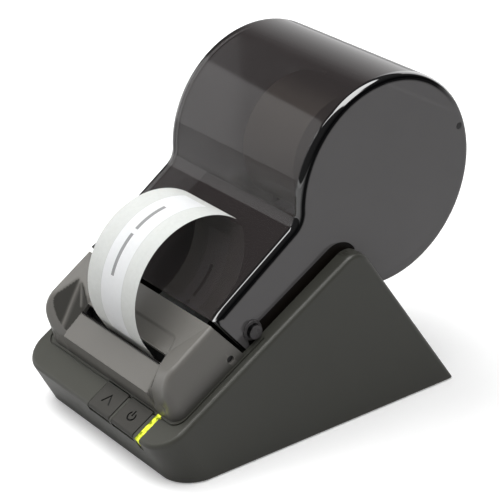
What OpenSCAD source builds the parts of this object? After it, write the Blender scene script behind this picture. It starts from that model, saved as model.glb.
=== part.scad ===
// Thermal label printer on a wedge-shaped base, with a smoked cover over the label roll.
// World frame: +X to the printer's right, +Y to its rear, +Z up, the floor at Z = 0.
// Most pieces are drawn in the slope frame: s runs up the ledge from its front edge,
// and n stands at right angles to the ledge.

/* [Base] */
// Overall width of the base
base_w = 106; // [96:0.5:130]
// Slope of the ledge from level, in degrees
slope = 31; // [29:0.5:33]
// Length of the ledge from its front edge to the ridge
ledge_len = 121.8; // [112:0.1:150]
// Height of the ledge's front edge above the lower edge of the shell
front_h = 19.85; // [18:0.05:26]
// Lean of the front wall from upright, top forward, in degrees
front_lean = 27.9; // [24:0.1:30]
// Lean of the back wall from upright, top forward, in degrees
back_lean = 35.25; // [32:0.05:37]
// Radius of the two front corners
corner_r = 13; // [9:0.5:15]
// Radius of the ridge where the ledge meets the back wall
ridge_r = 9; // [5:0.5:11]
// Wall of the base shell
wall = 2.4; // [2:0.1:3]
// Thickness of the ledge
ledge_t = 3.2; // [2.8:0.1:4]
// Width of the rim beside the opening in the ledge
rim_w = 7.3; // [6.5:0.1:9]
// Thickness of the bottom plate
bottom_t = 2.4; // [2:0.1:3]
// How far the rubber feet stand out under the shell
foot_h = 0.8; // [0.6:0.1:2]
// Radius of a rubber foot
foot_r = 6; // [4:0.5:8]

/* [Cover] */
// Radius of the drum part of the cover
drum_r = 47.8; // [44:0.1:58]
// Distance from the ridge to the drum's axis, along the slope
drum_back = 28.7; // [26:0.1:32]
// Height of the drum's axis above the ledge plane
drum_up = 7.3; // [5:0.1:12]
// Thickness of the cover's walls
cover_t = 2; // [1.6:0.1:2.6]
// Gap between the cover and the rim of the opening
cover_gap = 0.7; // [0.5:0.1:1]
// Height of the cover's front edge above the ledge plane
cover_front_n = 23; // [21:0.1:26]
// Rise of the cover's front panel above the slope, in degrees
cover_rise = 4.4; // [3:0.1:6]
// Radius of the hollow where the front panel meets the drum
neck_r = 8; // [6:0.5:11]
// Radius of the hinge pins
pin_r = 1.3; // [1:0.1:1.8]
// Place of the hinge pins round the drum, in degrees from the slope
pin_turn = -10.3; // [-14:0.1:-6]

/* [Labels] */
// Width of the label web
web_w = 34.4; // [28:0.1:50]
// Radius of the wound label roll
roll_r = 29; // [18:0.5:32]
// Radius of the curl that the printed strip makes above the slot
curl_r = 33.4; // [25:0.1:40]

/* [Printing] */
// Width of the exit slot
slot_w = 58.2; // [54:0.1:60]
// Radius of the platen roller
platen_r = 5; // [4:0.1:5.4]
// Radius of the platen's shaft
shaft_r = 2; // [1.5:0.1:2.4]
// Module of the drive gears
gear_m = 0.6; // [0.5:0.05:0.65]

/* [Buttons] */
// Width of a button
button_w = 15.3; // [12:0.1:16]
// Distance between the two buttons' centres
button_pitch = 17.2; // [16.8:0.1:20]
// How far a button travels
button_travel = 0.8; // [0.5:0.1:1]

/* [Hidden] */

$fn = 96;

// Long enough to pass right through the printer
through = 400;
// Running clearance of a shaft or a pin in its bore, on the radius
run = 0.06;
// Gap between a fixed piece and its seat
seat = 0.02;

drum_s = ledge_len + drum_back;
drum_n = drum_up;
depth = drum_s * cos(slope) - drum_n * sin(slope) + drum_r;
ledge_y = -depth / 2;
ledge_z = foot_h + front_h;

base_hw = base_w / 2;
open_hw = base_hw - rim_w;
cover_hw = open_hw - cover_gap;

// ---- lines and outlines ----

// World [y, z] of a point [s, n] of the slope frame
function world(p) = [
    ledge_y + p[0] * cos(slope) - p[1] * sin(slope),
    ledge_z + p[0] * sin(slope) + p[1] * cos(slope)
];
function ray(angle) = [cos(angle), sin(angle)];
function cross2(a, b) = a[0] * b[1] - a[1] * b[0];
// Where the line through p along d meets the line through q along e
function meet(p, d, q, e) = p + d * (cross2(q - p, e) / cross2(d, e));
function arc(c, r, a0, a1, steps) = [for (i = [0:steps]) c + r * ray(a0 + (a1 - a0) * i / steps)];
function unit(v) = v / norm(v);
function angle_of(v) = atan2(v[1], v[0]);
function reverse(list) = [for (i = [len(list) - 1:-1:0]) list[i]];
// The short way round from angle a to angle b
function turn_to(a, b) = ((b - a + 540) % 360) - 180;

// The corner p between neighbours a and b, rounded with radius r
function rounded_corner(a, p, b, r, steps) =
    let (u = unit(a - p),
         v = unit(b - p),
         half = acos(u * v) / 2,
         c = p + unit(u + v) * r / sin(half),
         a0 = angle_of(p + u * r / tan(half) - c),
         a1 = angle_of(p + v * r / tan(half) - c))
    arc(c, r, a0, a0 + turn_to(a0, a1), steps);

function rounded(points, radii, steps = 8) =
    let (last = len(points) - 1)
    [for (i = [0:last])
        each radii[i] > 0
            ? rounded_corner(points[i == 0 ? last : i - 1], points[i],
                             points[i == last ? 0 : i + 1], radii[i], steps)
            : [points[i]]];

// Outline of a band of thickness t that follows a path
function band(path, t) =
    let (last = len(path) - 1,
         side = [for (i = [0:last])
             let (d = unit(path[min(i + 1, last)] - path[max(i - 1, 0)]))
             [-d[1], d[0]] * t / 2])
    concat([for (i = [0:last]) path[i] + side[i]],
           reverse([for (i = [0:last]) path[i] - side[i]]));

// ---- frames and simple shapes ----

module extrude_x(x0, x1) {
    translate([x0, 0, 0]) rotate([90, 0, 90]) linear_extrude(x1 - x0) children();
}

module on_slope() {
    translate([0, ledge_y, ledge_z]) rotate([slope, 0, 0]) children();
}

// Frame on the outside of the back wall: +Y points out of it, +Z runs up it
module on_back() {
    translate([0, back_foot[0], back_foot[1]]) rotate([back_lean, 0, 0]) children();
}

module box(x, y, z) {
    translate([x[0], y[0], z[0]]) cube([x[1] - x[0], y[1] - y[0], z[1] - z[0]]);
}

// Round bar along X, at the place [u, v] of the frame's other two axes
module bar(r, x0, x1, at) {
    translate([x0, at[0], at[1]]) rotate([0, 90, 0]) cylinder(r = r, h = x1 - x0);
}

module both_sides() {
    for (side = [0, 1]) mirror([side, 0, 0]) children();
}

// ---- base ----

front_edge = [ledge_y, ledge_z];
ridge = world([ledge_len, 0]);
front_up = ray(90 + front_lean);
front_in = ray(front_lean);
back_up = ray(90 + back_lean);
back_in = -ray(back_lean);
ledge_up = ray(slope);
ledge_in = -ray(90 + slope);
back_foot = meet(ridge, back_up, [0, foot_h], [1, 0]);
front_foot = meet(front_edge, front_up, [0, foot_h], [1, 0]);

// Side outline of the base, set in by t at front and back and by top_t under the ledge
function wedge_points(t, top_t, z0) =
    let (top = front_edge + ledge_in * top_t,
         front = front_edge + front_in * t,
         back = ridge + back_in * t)
    [meet(front, front_up, [0, z0], [1, 0]),
     meet(front, front_up, top, ledge_up),
     meet(top, ledge_up, back, back_up),
     meet(back, back_up, [0, z0], [1, 0])];

// Upright prism with the two round front corners, leaning with the front wall
module corner_prism(t) {
    r = corner_r - t;
    hw = base_hw - t;
    translate([0, front_edge[0], front_edge[1]]) rotate([front_lean, 0, 0])
        translate([0, 0, -through / 2]) linear_extrude(through) {
            translate([-hw, t + r]) square([2 * hw, through]);
            translate([r - hw, t]) square([2 * (hw - r), through]);
            for (side = [-1, 1]) translate([side * (hw - r), t + r]) circle(r = r);
        }
}

module wedge(t, top_t, z0) {
    intersection() {
        extrude_x(t - base_hw, base_hw - t)
            polygon(rounded(wedge_points(t, top_t, z0), [0, 0, ridge_r - t, 0]));
        corner_prism(t);
    }
}

// Four screw posts that join the bottom plate to the shell
post_r = 3;
post_h = 10;
screw_r = 1.15;
post_x = base_hw - wall - 4.1;
post_y = [front_foot[0] + corner_r, back_foot[0] - 18];
plate_top = foot_h + bottom_t;
screw_len = 8;

module at_posts() {
    for (x = [-post_x, post_x], y = post_y) translate([x, y, 0]) children();
}

// The opening in the ledge starts under the print cover
open_s = 17.4;
pocket_gap = 0.8;

// Buttons and light guide in the front of the ledge
button_x = 7.5;
button_s = 13.8;
button_gap = 0.35;
button_sink = ledge_t - 1;
light_x = [34.5, 37];
light_s = 14.3;
light_t = 1.8;
light_drop = 6.5;
light_leg = [6.5, 9.5];
light_gap = 0.1;
front_off = slope - front_lean;
board_n = -7.8;
board_t = 1.2;
board_s = [3.5, 14.2];
board_x = [-8, 43];
board_post_x = [-5.5, 41];
board_post_s = 9;
board_post_r = 1.8;

// Sockets in the back wall
socket_up = 32;
usb_x = -14;
usb_size = [12, 16, 11];
dc_x = 13;
dc_size = [9, 14, 11];
socket_recess = 0.6;
io_t = 1.6;
io_x = [-25, 23];
io_y = [-22, -3];
io_top = socket_up - usb_size[2] / 2;
io_rib_w = 3;
io_rib_h = 3;

// Centre height of the label passage over the deck
web_n = -1;
web_t = 0.3;

deck_t = 2;
deck_top = -ledge_t - seat;
deck_s = [15.2, drum_s - drum_r - 1.2];
deck_hw = base_hw - wall - 1.1;
deck_screw_x = (open_hw + base_hw - wall) / 2 - 0.3;
deck_screw_s = [62, deck_s[1] - 6];
deck_screw_in = 2.2;

module button_cut(x) {
    hw = button_w / 2 + button_gap;
    box([x - hw, x + hw], [-5, button_s + button_gap], [-ledge_t - 0.5, 5]);
}

module base_shell() {
    color([0.25, 0.25, 0.24]) difference() {
        union() {
            difference() {
                wedge(0, 0, foot_h);
                wedge(wall, ledge_t, foot_h - 5);
            }
            at_posts() translate([0, 0, plate_top]) cylinder(r = post_r, h = post_h);
            both_sides() for (y = post_y)
                box([post_x + 1, base_hw - wall / 2], [y - 1, y + 1], [plate_top, plate_top + post_h]);
            on_slope() for (x = board_post_x)
                translate([x, board_post_s, board_n]) cylinder(r = board_post_r, h = -board_n - 1);
            on_back() for (x = [io_x[0], io_x[1] - io_rib_w])
                box([x, x + io_rib_w], [io_y[0] / 2, -wall / 2],
                    [io_top - io_t - io_rib_h, io_top - io_t]);
        }
        on_slope() {
            box([-open_hw, open_hw], [open_s, through], [-ledge_t - 3, through]);
            bar(drum_r + pocket_gap, -open_hw, open_hw, [drum_s, drum_n]);
            for (x = [button_x, button_x + button_pitch]) button_cut(x);
            box([light_x[0] - light_gap, light_x[1] + light_gap],
                [-5, light_s + light_gap], [-light_t - light_gap, 5]);
            box([light_x[0] - light_gap, light_x[1] + light_gap],
                [light_leg[0] - light_gap, light_leg[1] + light_gap], [-ledge_t - 1, 0]);
            box([light_x[0] - light_gap, light_x[1] + light_gap],
                [-5, wall + 0.6], [-light_drop - light_gap, 0]);
            both_sides() for (s = deck_screw_s)
                translate([deck_screw_x, s, deck_top - 1])
                    cylinder(r = screw_r + run, h = 1 + deck_screw_in + 0.2);
        }
        at_posts() translate([0, 0, plate_top - 1]) cylinder(r = screw_r + run, h = screw_len);
        on_back() {
            socket_cut(usb_x, usb_size);
            socket_cut(dc_x, dc_size);
        }
    }
}

module socket_cut(x, size) {
    fit = 0.2;
    box([x - size[0] / 2 - fit, x + size[0] / 2 + fit], [-size[1], 5],
        [io_top, io_top + size[2] + fit]);
}

// ---- bottom ----

head_r = 2.5;
head_h = 1.3;
foot_t = 2;
foot_x = base_hw - 15;
foot_y = [front_foot[0] + 20, back_foot[0] - 32];
pcb_z = 8;
pcb_t = 1.6;
pcb_x = 35;
pcb_y = [ledge_y + 42, ledge_y + 104];
pcb_post_in = 4;

module at_feet() {
    for (x = [-foot_x, foot_x], y = foot_y) translate([x, y, 0]) children();
}

module bottom_cover() {
    color([0.16, 0.16, 0.16]) difference() {
        union() {
            intersection() {
                wedge(wall + 0.2, ledge_t, foot_h - 5);
                box([-base_hw, base_hw], [-through, through], [foot_h, plate_top]);
            }
            for (x = [-1, 1], y = [pcb_y[0] + pcb_post_in, pcb_y[1] - pcb_post_in])
                translate([x * (pcb_x - pcb_post_in), y, plate_top - 0.5])
                    cylinder(r = 2.5, h = pcb_z - plate_top + 0.5);
        }
        at_posts() {
            cylinder(r = screw_r + 0.2, h = through);
            cylinder(r = head_r + 0.3, h = foot_h + head_h + 0.1);
        }
        at_feet() cylinder(r = foot_r + 0.1, h = foot_t);
    }
}

module bottom_screws() {
    color([0.6, 0.6, 0.62]) at_posts() {
        translate([0, 0, foot_h + 0.1]) cylinder(r = head_r, h = head_h);
        translate([0, 0, foot_h + 0.1 + head_h]) cylinder(r = screw_r, h = screw_len - head_h);
    }
}

module rubber_feet() {
    color([0.08, 0.08, 0.08]) at_feet() cylinder(r = foot_r, h = foot_t - seat);
}

module main_board() {
    color([0.05, 0.3, 0.15]) box([-pcb_x, pcb_x], pcb_y, [pcb_z, pcb_z + pcb_t]);
}

// Chips, a coil and capacitors on the board: [x, y along the board, length, width, height]
board_items = [[-20, 14, 14, 14, 2], [8, 16, 10, 8, 1.6], [22, 30, 9, 9, 3.6], [-8, 46, 18, 7, 2.4]];
board_cans = [[24, 12, 3.2, 5], [24, 50, 4, 5.4], [-26, 50, 3.2, 5]];

module board_parts() {
    color([0.1, 0.1, 0.1]) translate([0, pcb_y[0], pcb_z + pcb_t]) {
        for (i = board_items)
            translate([i[0] - i[2] / 2, i[1] - i[3] / 2, 0]) cube([i[2], i[3], i[4]]);
        for (i = board_cans) translate([i[0], i[1], 0]) cylinder(r = i[2], h = i[3]);
    }
}

// ---- sockets ----

module io_board() {
    color([0.05, 0.3, 0.15]) on_back() box(io_x, io_y, [io_top - io_t, io_top]);
}

usb_hole = [8.4, 9, 7.8];
usb_tongue = [5.6, 8, 3.2];

module usb_socket() {
    color([0.75, 0.75, 0.77]) on_back() translate([usb_x, -socket_recess, io_top]) {
        difference() {
            box([-usb_size[0] / 2, usb_size[0] / 2], [-usb_size[1], 0], [0, usb_size[2]]);
            box([-usb_hole[0] / 2, usb_hole[0] / 2], [-usb_hole[1], 1],
                [(usb_size[2] - usb_hole[2]) / 2, (usb_size[2] + usb_hole[2]) / 2]);
        }
        box([-usb_tongue[0] / 2, usb_tongue[0] / 2], [-usb_hole[1], usb_tongue[1] - usb_hole[1]],
            [(usb_size[2] - usb_tongue[2]) / 2, (usb_size[2] + usb_tongue[2]) / 2]);
    }
}

dc_hole_r = 2.9;
dc_hole_l = 9.5;
dc_pin_r = 1;

module dc_inlet() {
    color([0.08, 0.08, 0.08]) on_back() translate([dc_x, -socket_recess, io_top]) {
        difference() {
            box([-dc_size[0] / 2, dc_size[0] / 2], [-dc_size[1], 0], [0, dc_size[2]]);
            translate([0, 1, dc_size[2] / 2]) rotate([90, 0, 0])
                cylinder(r = dc_hole_r, h = dc_hole_l + 1);
        }
        translate([0, -1, dc_size[2] / 2]) rotate([90, 0, 0])
            cylinder(r = dc_pin_r, h = dc_hole_l - 1);
    }
}

// ---- buttons, light and their board ----

// Side outline of a button: its front follows the front wall, with a bevelled top edge
button_top = 0.3;
button_profile = [
    [button_sink * tan(front_off) + 0.1, -button_sink], [0.15, -0.8], [1.2, button_top],
    [button_s, button_top], [button_s, -button_sink]
];
stem_r = 1.8;
plunger_r = 1.6;
switch_h = 2.2;
switch_w = 6;
switch_s = 8;
stem_gap = button_travel + 0.1;
stem_foot = board_n + switch_h + stem_gap;

module button(x) {
    on_slope() {
        extrude_x(x - button_w / 2, x + button_w / 2) polygon(button_profile);
        translate([x, switch_s, stem_foot]) cylinder(r = stem_r, h = -button_sink - stem_foot + 0.5);
    }
}

module feed_button() {
    color([0.24, 0.23, 0.22]) button(button_x);
}

module power_button() {
    color([0.24, 0.23, 0.22]) button(button_x + button_pitch);
}

module button_board() {
    color([0.05, 0.3, 0.15]) on_slope() box(board_x, board_s, [board_n - board_t, board_n]);
}

module button_switches() {
    color([0.15, 0.15, 0.16]) on_slope()
        for (x = [button_x, button_x + button_pitch]) translate([x, switch_s, board_n]) {
            translate([-switch_w / 2, -switch_w / 2, 0]) cube([switch_w, switch_w, switch_h - 0.6]);
            cylinder(r = plunger_r, h = switch_h);
        }
}

light_front = light_drop * tan(front_off);

module status_light() {
    color([0.75, 1, 0.1]) on_slope() extrude_x(light_x[0], light_x[1]) polygon([
        [0, 0], [light_s, 0], [light_s, -light_t], [light_leg[1], -light_t],
        [light_leg[1], board_n + 1.4], [light_leg[0], board_n + 1.4], [light_leg[0], -light_t],
        [light_t + 0.2, -light_t], [light_t + light_front, -light_drop], [light_front, -light_drop]
    ]);
}

module status_led() {
    color([0.9, 0.9, 0.8]) on_slope()
        box([light_x[0] + 0.3, light_x[1] - 0.3], light_leg, [board_n, board_n + 1.1]);
}

// ---- print mechanism ----

plate_x = slot_w / 2 + 1.4;
plate_t = 1.2;
gear_x = [-plate_x - plate_t - 3.7, -plate_x - plate_t - 0.7];
nip_s = 30.95;
web_clear = 0.3;
platen_s = nip_s + platen_r + web_clear + web_t / 2;
platen_n = 4.6;
bush_r = shaft_r + 1.2;

platen_teeth = 20;
idler_teeth = 28;
pinion_teeth = 12;
function pitch_r(teeth) = teeth * gear_m / 2;
// Directions from the platen to the idler and from the idler to the motor
idler_dir = -51.3;
pinion_dir = -107;
idler_at = [platen_s, platen_n] + (pitch_r(platen_teeth) + pitch_r(idler_teeth)) * ray(idler_dir);
pinion_at = idler_at + (pitch_r(idler_teeth) + pitch_r(pinion_teeth)) * ray(pinion_dir);

// Turn that puts a gap of the idler on the platen's tooth, and the pinion's in the idler's mesh
idler_turn = idler_dir + 180 + 180 / idler_teeth;
idler_phase = (pinion_dir - idler_turn) * idler_teeth / 360;
pinion_turn = pinion_dir + 180 - (0.5 - idler_phase) * 360 / pinion_teeth;

function gear_points(teeth, turn) =
    let (quarter = 90 / teeth,
         tip = pitch_r(teeth) + 0.85 * gear_m,
         root = pitch_r(teeth) - 1.15 * gear_m)
    [for (i = [0:teeth - 1]) let (a = turn + i * 360 / teeth)
        each [root * ray(a - 1.25 * quarter), tip * ray(a - 0.5 * quarter),
              tip * ray(a + 0.5 * quarter), root * ray(a + 1.25 * quarter)]];

module gear(teeth, turn, bore, at) {
    difference() {
        translate([0, at[0], at[1]]) extrude_x(gear_x[0], gear_x[1])
            polygon(gear_points(teeth, turn));
        bar(bore, -through, 0, at);
    }
}

stud_r = 1.5;
motor_r = 10;
motor_l = 15;
motor_shaft_r = 1;
frame_s = [20.5, 48];
frame_top = 9.6;
motor_foot = pinion_at[1] - motor_r - 0.3;

// Side plate of the mechanism; the left one reaches down to carry the motor
plate_points = [
    [frame_s[0], deck_top], [frame_s[0], 7], [30, frame_top], [platen_s + 5, frame_top],
    [frame_s[1], deck_top]
];
motor_plate_points = [
    [frame_s[0], deck_top], [frame_s[0], 7], [30, frame_top], [platen_s + 5, frame_top],
    [idler_at[0] + 4, 0], [idler_at[0] + 7, -8], [pinion_at[0] + motor_r, motor_foot],
    [pinion_at[0] - motor_r, motor_foot], [pinion_at[0] - motor_r, deck_top]
];

module mech_frame() {
    inner = frame_s[0] + plate_t;
    color([0.62, 0.63, 0.65]) on_slope() difference() {
        union() {
            extrude_x(plate_x, plate_x + plate_t) polygon(plate_points);
            extrude_x(-plate_x - plate_t, -plate_x) polygon(motor_plate_points);
            box([-plate_x - 0.1, plate_x + 0.1], [frame_s[0], inner], [deck_top, 7]);
            box([-plate_x - 0.1, plate_x + 0.1], [frame_s[0], frame_s[1] - 2],
                [deck_top, deck_top + 1]);
            bar(stud_r, gear_x[0] - 0.4, -plate_x, idler_at);
        }
        bar(bush_r + seat, -through, through, [platen_s, platen_n]);
        bar(motor_shaft_r + 1, -through, 0, pinion_at);
    }
}

head_s = nip_s - web_t / 2 - 0.35;
head_t = 1.1;
head_n = [deck_top + 1.3, 8.6];
sink_t = 4.4;

module print_head() {
    color([0.85, 0.83, 0.76]) on_slope()
        box([-slot_w / 2 + 0.3, slot_w / 2 - 0.3], [head_s - head_t, head_s], head_n);
}

module head_heatsink() {
    fins = 6;
    fin_step = (head_n[1] - head_n[0] - 1) / fins;
    color([0.75, 0.76, 0.78]) on_slope() difference() {
        box([-plate_x + 0.2, plate_x - 0.2], [head_s - head_t - sink_t, head_s - head_t],
            [head_n[0], head_n[1] - 0.4]);
        for (i = [0:fins - 1])
            box([-plate_x + 4, plate_x - 4], [0, head_s - head_t - sink_t + 1.6],
                [head_n[0] + (i + 0.6) * fin_step, head_n[0] + (i + 1) * fin_step]);
    }
}

module head_springs() {
    spring_t = 0.4;
    spring_x = 15;
    low = frame_s[0] + plate_t + spring_t / 2 + 0.05;
    high = head_s - head_t - sink_t - spring_t / 2 - 0.05;
    color([0.8, 0.8, 0.8]) on_slope() for (x = [-spring_x, spring_x])
        extrude_x(x - 4, x + 4)
            polygon(band([[low, -1.5], [low, 0], [high, 2.4], [high, 4], [low, 6.2]], spring_t));
}

module platen_shaft() {
    color([0.8, 0.8, 0.82]) on_slope()
        bar(shaft_r, gear_x[0] - 0.4, plate_x + plate_t + 1.2, [platen_s, platen_n]);
}

module tube(r_in, r_out, x0, x1, at) {
    difference() {
        bar(r_out, x0, x1, at);
        bar(r_in, x0 - 1, x1 + 1, at);
    }
}

module platen_rubber() {
    color([0.12, 0.12, 0.12]) on_slope()
        tube(shaft_r + seat, platen_r, -slot_w / 2 - 0.2, slot_w / 2 + 0.2, [platen_s, platen_n]);
}

module platen_bushes() {
    color([0.75, 0.6, 0.3]) on_slope() both_sides()
        tube(shaft_r + run, bush_r, plate_x - 0.4, plate_x + plate_t + 0.4, [platen_s, platen_n]);
}

module platen_gear() {
    color([0.9, 0.9, 0.88]) on_slope()
        gear(platen_teeth, idler_dir, shaft_r + seat, [platen_s, platen_n]);
}

module idler_gear() {
    color([0.9, 0.9, 0.88]) on_slope() gear(idler_teeth, idler_turn, stud_r + run, idler_at);
}

module motor_pinion() {
    color([0.8, 0.7, 0.4]) on_slope() {
        translate([0, pinion_at[0], pinion_at[1]]) extrude_x(gear_x[0], gear_x[1])
            polygon(gear_points(pinion_teeth, pinion_turn));
        bar(motor_shaft_r, gear_x[1] - 1, -plate_x + 1.5, pinion_at);
    }
}

module stepper_motor() {
    color([0.55, 0.55, 0.58]) on_slope() difference() {
        bar(motor_r, -plate_x + seat, -plate_x + motor_l, pinion_at);
        bar(motor_shaft_r + run, -through, -plate_x + 2, pinion_at);
    }
}

// ---- deck under the cover ----

lug_x = [open_hw - 5.8, open_hw - 1.8];
lug_s = [45.7, 52];
lug_top = 5.8;
side_screw_at = [49.2, 3.9];
side_screw_r = 1;
trough_out = drum_r - 2.5;
trough_in = trough_out - 2;
trough_hw = cover_hw - cover_t - 4.3;
lip_n = [deck_top, -1.6];
function chord(r, n) = drum_s - sqrt(r * r - (n - drum_n) * (n - drum_n));
neck_end = chord(trough_out, lip_n[0]) - 0.6;

module deck() {
    motor_cut_x = [gear_x[0] - 1.5, -plate_x + motor_l + 1];
    color([0.13, 0.13, 0.14]) on_slope() difference() {
        union() {
            box([-deck_hw, deck_hw], deck_s, [deck_top - deck_t, deck_top]);
            box([-trough_hw, trough_hw], [deck_s[1] - 1, neck_end], [deck_top - deck_t, deck_top]);
            both_sides() box(lug_x, lug_s, [deck_top - 0.5, lug_top]);
        }
        box(motor_cut_x, [pinion_at[0] - motor_r - 1, idler_at[0] + 10], [-through, 0]);
        both_sides() {
            for (s = deck_screw_s)
                translate([deck_screw_x, s, -through / 2]) cylinder(r = screw_r + 0.2, h = through);
            bar(side_screw_r + run, lug_x[0] - 1, through, side_screw_at);
        }
    }
}

module deck_screws() {
    color([0.6, 0.6, 0.62]) on_slope() both_sides() for (s = deck_screw_s)
        translate([deck_screw_x, s, 0]) {
            translate([0, 0, deck_top - deck_t - 1.2]) cylinder(r = 2.2, h = 1.2 - seat);
            translate([0, 0, deck_top - deck_t - 1]) cylinder(r = screw_r, h = deck_t + 1 + deck_screw_in);
        }
}

module label_sensor() {
    sensor_s = [66, 72];
    color([0.05, 0.05, 0.06]) on_slope()
        box([web_w / 2 - 8, web_w / 2 + 4], sensor_s, [deck_top, web_n - web_t / 2 - 0.4]);
}

// Plain dark cover over the label passage, between the deck and the roll
housing_hw = trough_hw - 0.2;
housing_t = 2;
housing_top = 9;
housing_in = 12.8;
housing_s = [58.5, drum_s - drum_r + housing_in];
housing_back = housing_top + 2.6;

module inner_housing() {
    top = rounded([
        [housing_s[0], deck_top], [housing_s[0], housing_top], [housing_s[1] - 16, housing_top],
        [housing_s[1], housing_back], [housing_s[1] + 1, housing_back - 5],
        [deck_s[1] - 2, deck_top]], [0, 3, 12, 2.5, 0, 0]);
    color([0.1, 0.1, 0.11]) on_slope() difference() {
        extrude_x(-housing_hw, housing_hw) polygon(top);
        extrude_x(-housing_hw + housing_t, housing_hw - housing_t) polygon([
            [housing_s[0] - 5, deck_top - 1], [housing_s[0] - 5, housing_top - housing_t],
            [housing_s[1] - 14, housing_top - housing_t], [housing_s[1] - 3, housing_back - housing_t],
            [housing_s[1] + 5, housing_back - 6], [housing_s[1] + 5, deck_top - 1]]);
    }
}

// ---- roll trough, arms and spool ----

pin_d = drum_r - 4.3;
pin_at = [drum_s, drum_n] + pin_d * ray(pin_turn);
barrel_r = 4;
pin_len = cover_t + 9;
pin_x = cover_hw - pin_len;

module roll_trough() {
    centre = [drum_s, drum_n];
    color([0.13, 0.13, 0.14]) on_slope() difference() {
        union() {
            extrude_x(-trough_hw, trough_hw) {
                intersection() {
                    difference() {
                        translate(centre) circle(r = trough_out);
                        translate(centre) circle(r = trough_in);
                    }
                    polygon([centre, centre + through * ray(pin_turn), [through, -through],
                        [0, -through], [0, lip_n[1]], [drum_s, lip_n[1]]]);
                }
                polygon([[deck_s[1] + 1.4, lip_n[0]], [neck_end + 1.5, lip_n[0]],
                    [neck_end + 1.5, lip_n[1]], [deck_s[1] + 1.4, lip_n[1]]]);
            }
            bar(barrel_r, -trough_hw, trough_hw, pin_at);
        }
        both_sides() bar(pin_r + seat, pin_x - 0.2, through, pin_at);
    }
}

roll_s = drum_s + 1.5;
roll_n = drum_n + 1.5;
roll_at = world([roll_s, roll_n]);
drum_at = world([drum_s, drum_n]);
journal_r = 4;
flange_t = 1.6;
flange_r = min(21.5, roll_r - 3);
core_r = 12.5;
core_wall = 2;
roll_hw = web_w / 2 - 0.1;
flange_x = [roll_hw + 0.2, roll_hw + 0.2 + flange_t];
arm_x = [flange_x[1] + 0.7, flange_x[1] + 3.7];
arm_hw = 8;

module arm(x0, x1) {
    slot_r = journal_r + 0.15;
    extrude_x(x0, x1) difference() {
        intersection() {
            translate(drum_at) circle(r = trough_in - 0.1);
            union() {
                translate([roll_at[0] - arm_hw, roll_at[1] - drum_r]) square([2 * arm_hw, drum_r]);
                translate(roll_at) circle(r = arm_hw);
            }
        }
        translate(roll_at) circle(r = slot_r);
        translate([roll_at[0] - slot_r, roll_at[1]]) square([2 * slot_r, drum_r]);
    }
}

module left_arm() {
    color([0.1, 0.1, 0.11]) arm(-arm_x[1], -arm_x[0]);
}

module right_arm() {
    color([0.1, 0.1, 0.11]) arm(arm_x[0], arm_x[1]);
}

module spool_core() {
    color([0.2, 0.2, 0.2]) {
        tube(core_r - core_wall, core_r, -flange_x[1], flange_x[1], roll_at);
        both_sides() {
            bar(core_r - core_wall + 0.5, flange_x[0], flange_x[1], roll_at);
            bar(journal_r, flange_x[0], arm_x[1] + 0.8, roll_at);
        }
    }
}

module left_flange() {
    color([0.2, 0.2, 0.2]) tube(core_r + seat, flange_r, -flange_x[1], -flange_x[0], roll_at);
}

module right_flange() {
    color([0.2, 0.2, 0.2]) tube(core_r + seat, flange_r, flange_x[0], flange_x[1], roll_at);
}

module label_roll() {
    color([0.93, 0.92, 0.88]) tube(core_r + 0.1, roll_r, -roll_hw, roll_hw, roll_at);
}

// The web's path from the torn end, over the curl, down the slot, round the platen,
// along the deck and down to the underside of the roll
curl_end = 24.7;
curl_at = [nip_s + curl_r, 15];
guide_at = [chord(trough_in, lip_n[1]) + 0.4, web_n + 0.05];
wrap_r = platen_r + web_clear + web_t / 2;
roll_wrap = roll_r + web_clear + web_t / 2;
to_roll = [roll_s, roll_n] - guide_at;
leave_dir = angle_of(to_roll) - asin(roll_wrap / norm(to_roll));
leave_len = sqrt(to_roll * to_roll - roll_wrap * roll_wrap);
web_path = concat(
    arc(curl_at, curl_r, curl_end, 180, 30),
    arc([platen_s, platen_n], wrap_r, 180, 270, 8),
    [[platen_s + 12, web_n], guide_at - [1, 0], guide_at + 0.7 * ray(leave_dir),
     guide_at + leave_len * ray(leave_dir)]
);

module label_strip() {
    color([0.97, 0.97, 0.95]) on_slope()
        extrude_x(-web_w / 2, web_w / 2) polygon(band(web_path, web_t));
}

// ---- print cover round the slot ----

pc_foot_s = [14.6, 55.2];
pc_foot_hw = open_hw + 1.9;
pc_corner_r = 7;
pc_ridge_x = pc_foot_hw - 6.4;
pc_mid_x = 33.5;
lip_s = 16.8;
lip_low_n = 9.5;
slot_s = [28.6, 33.2];
lip_high_n = 13.3;
panel_n = 14.6;
pc_top = [51.2, 21.9];
pc_skin = 2.2;

// One shoulder beside the slot: a round ridge that falls to a round nose at the front
module shoulder() {
    $fn = 32;
    hull() {
        translate([pc_foot_hw - pc_corner_r, pc_foot_s[0] + pc_corner_r, 0])
            cylinder(r = pc_corner_r, h = 1);
        box([pc_foot_hw - 1, pc_foot_hw], [50, pc_foot_s[1]], [0, 1]);
        box([pc_mid_x, pc_mid_x + 1], [lip_s, lip_s + 1], [0, lip_low_n]);
        box([pc_mid_x, pc_mid_x + 1], [pc_top[0], pc_top[0] + 1], [0, panel_n]);
        translate([pc_ridge_x - 1.8, 23.4, 12.4]) sphere(r = 6.2);
        translate([pc_ridge_x + 0.4, 27, 17.6]) sphere(r = 2.3);
        translate([pc_ridge_x + 0.4, 52, 20.2]) sphere(r = 2.3);
    }
}

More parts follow.
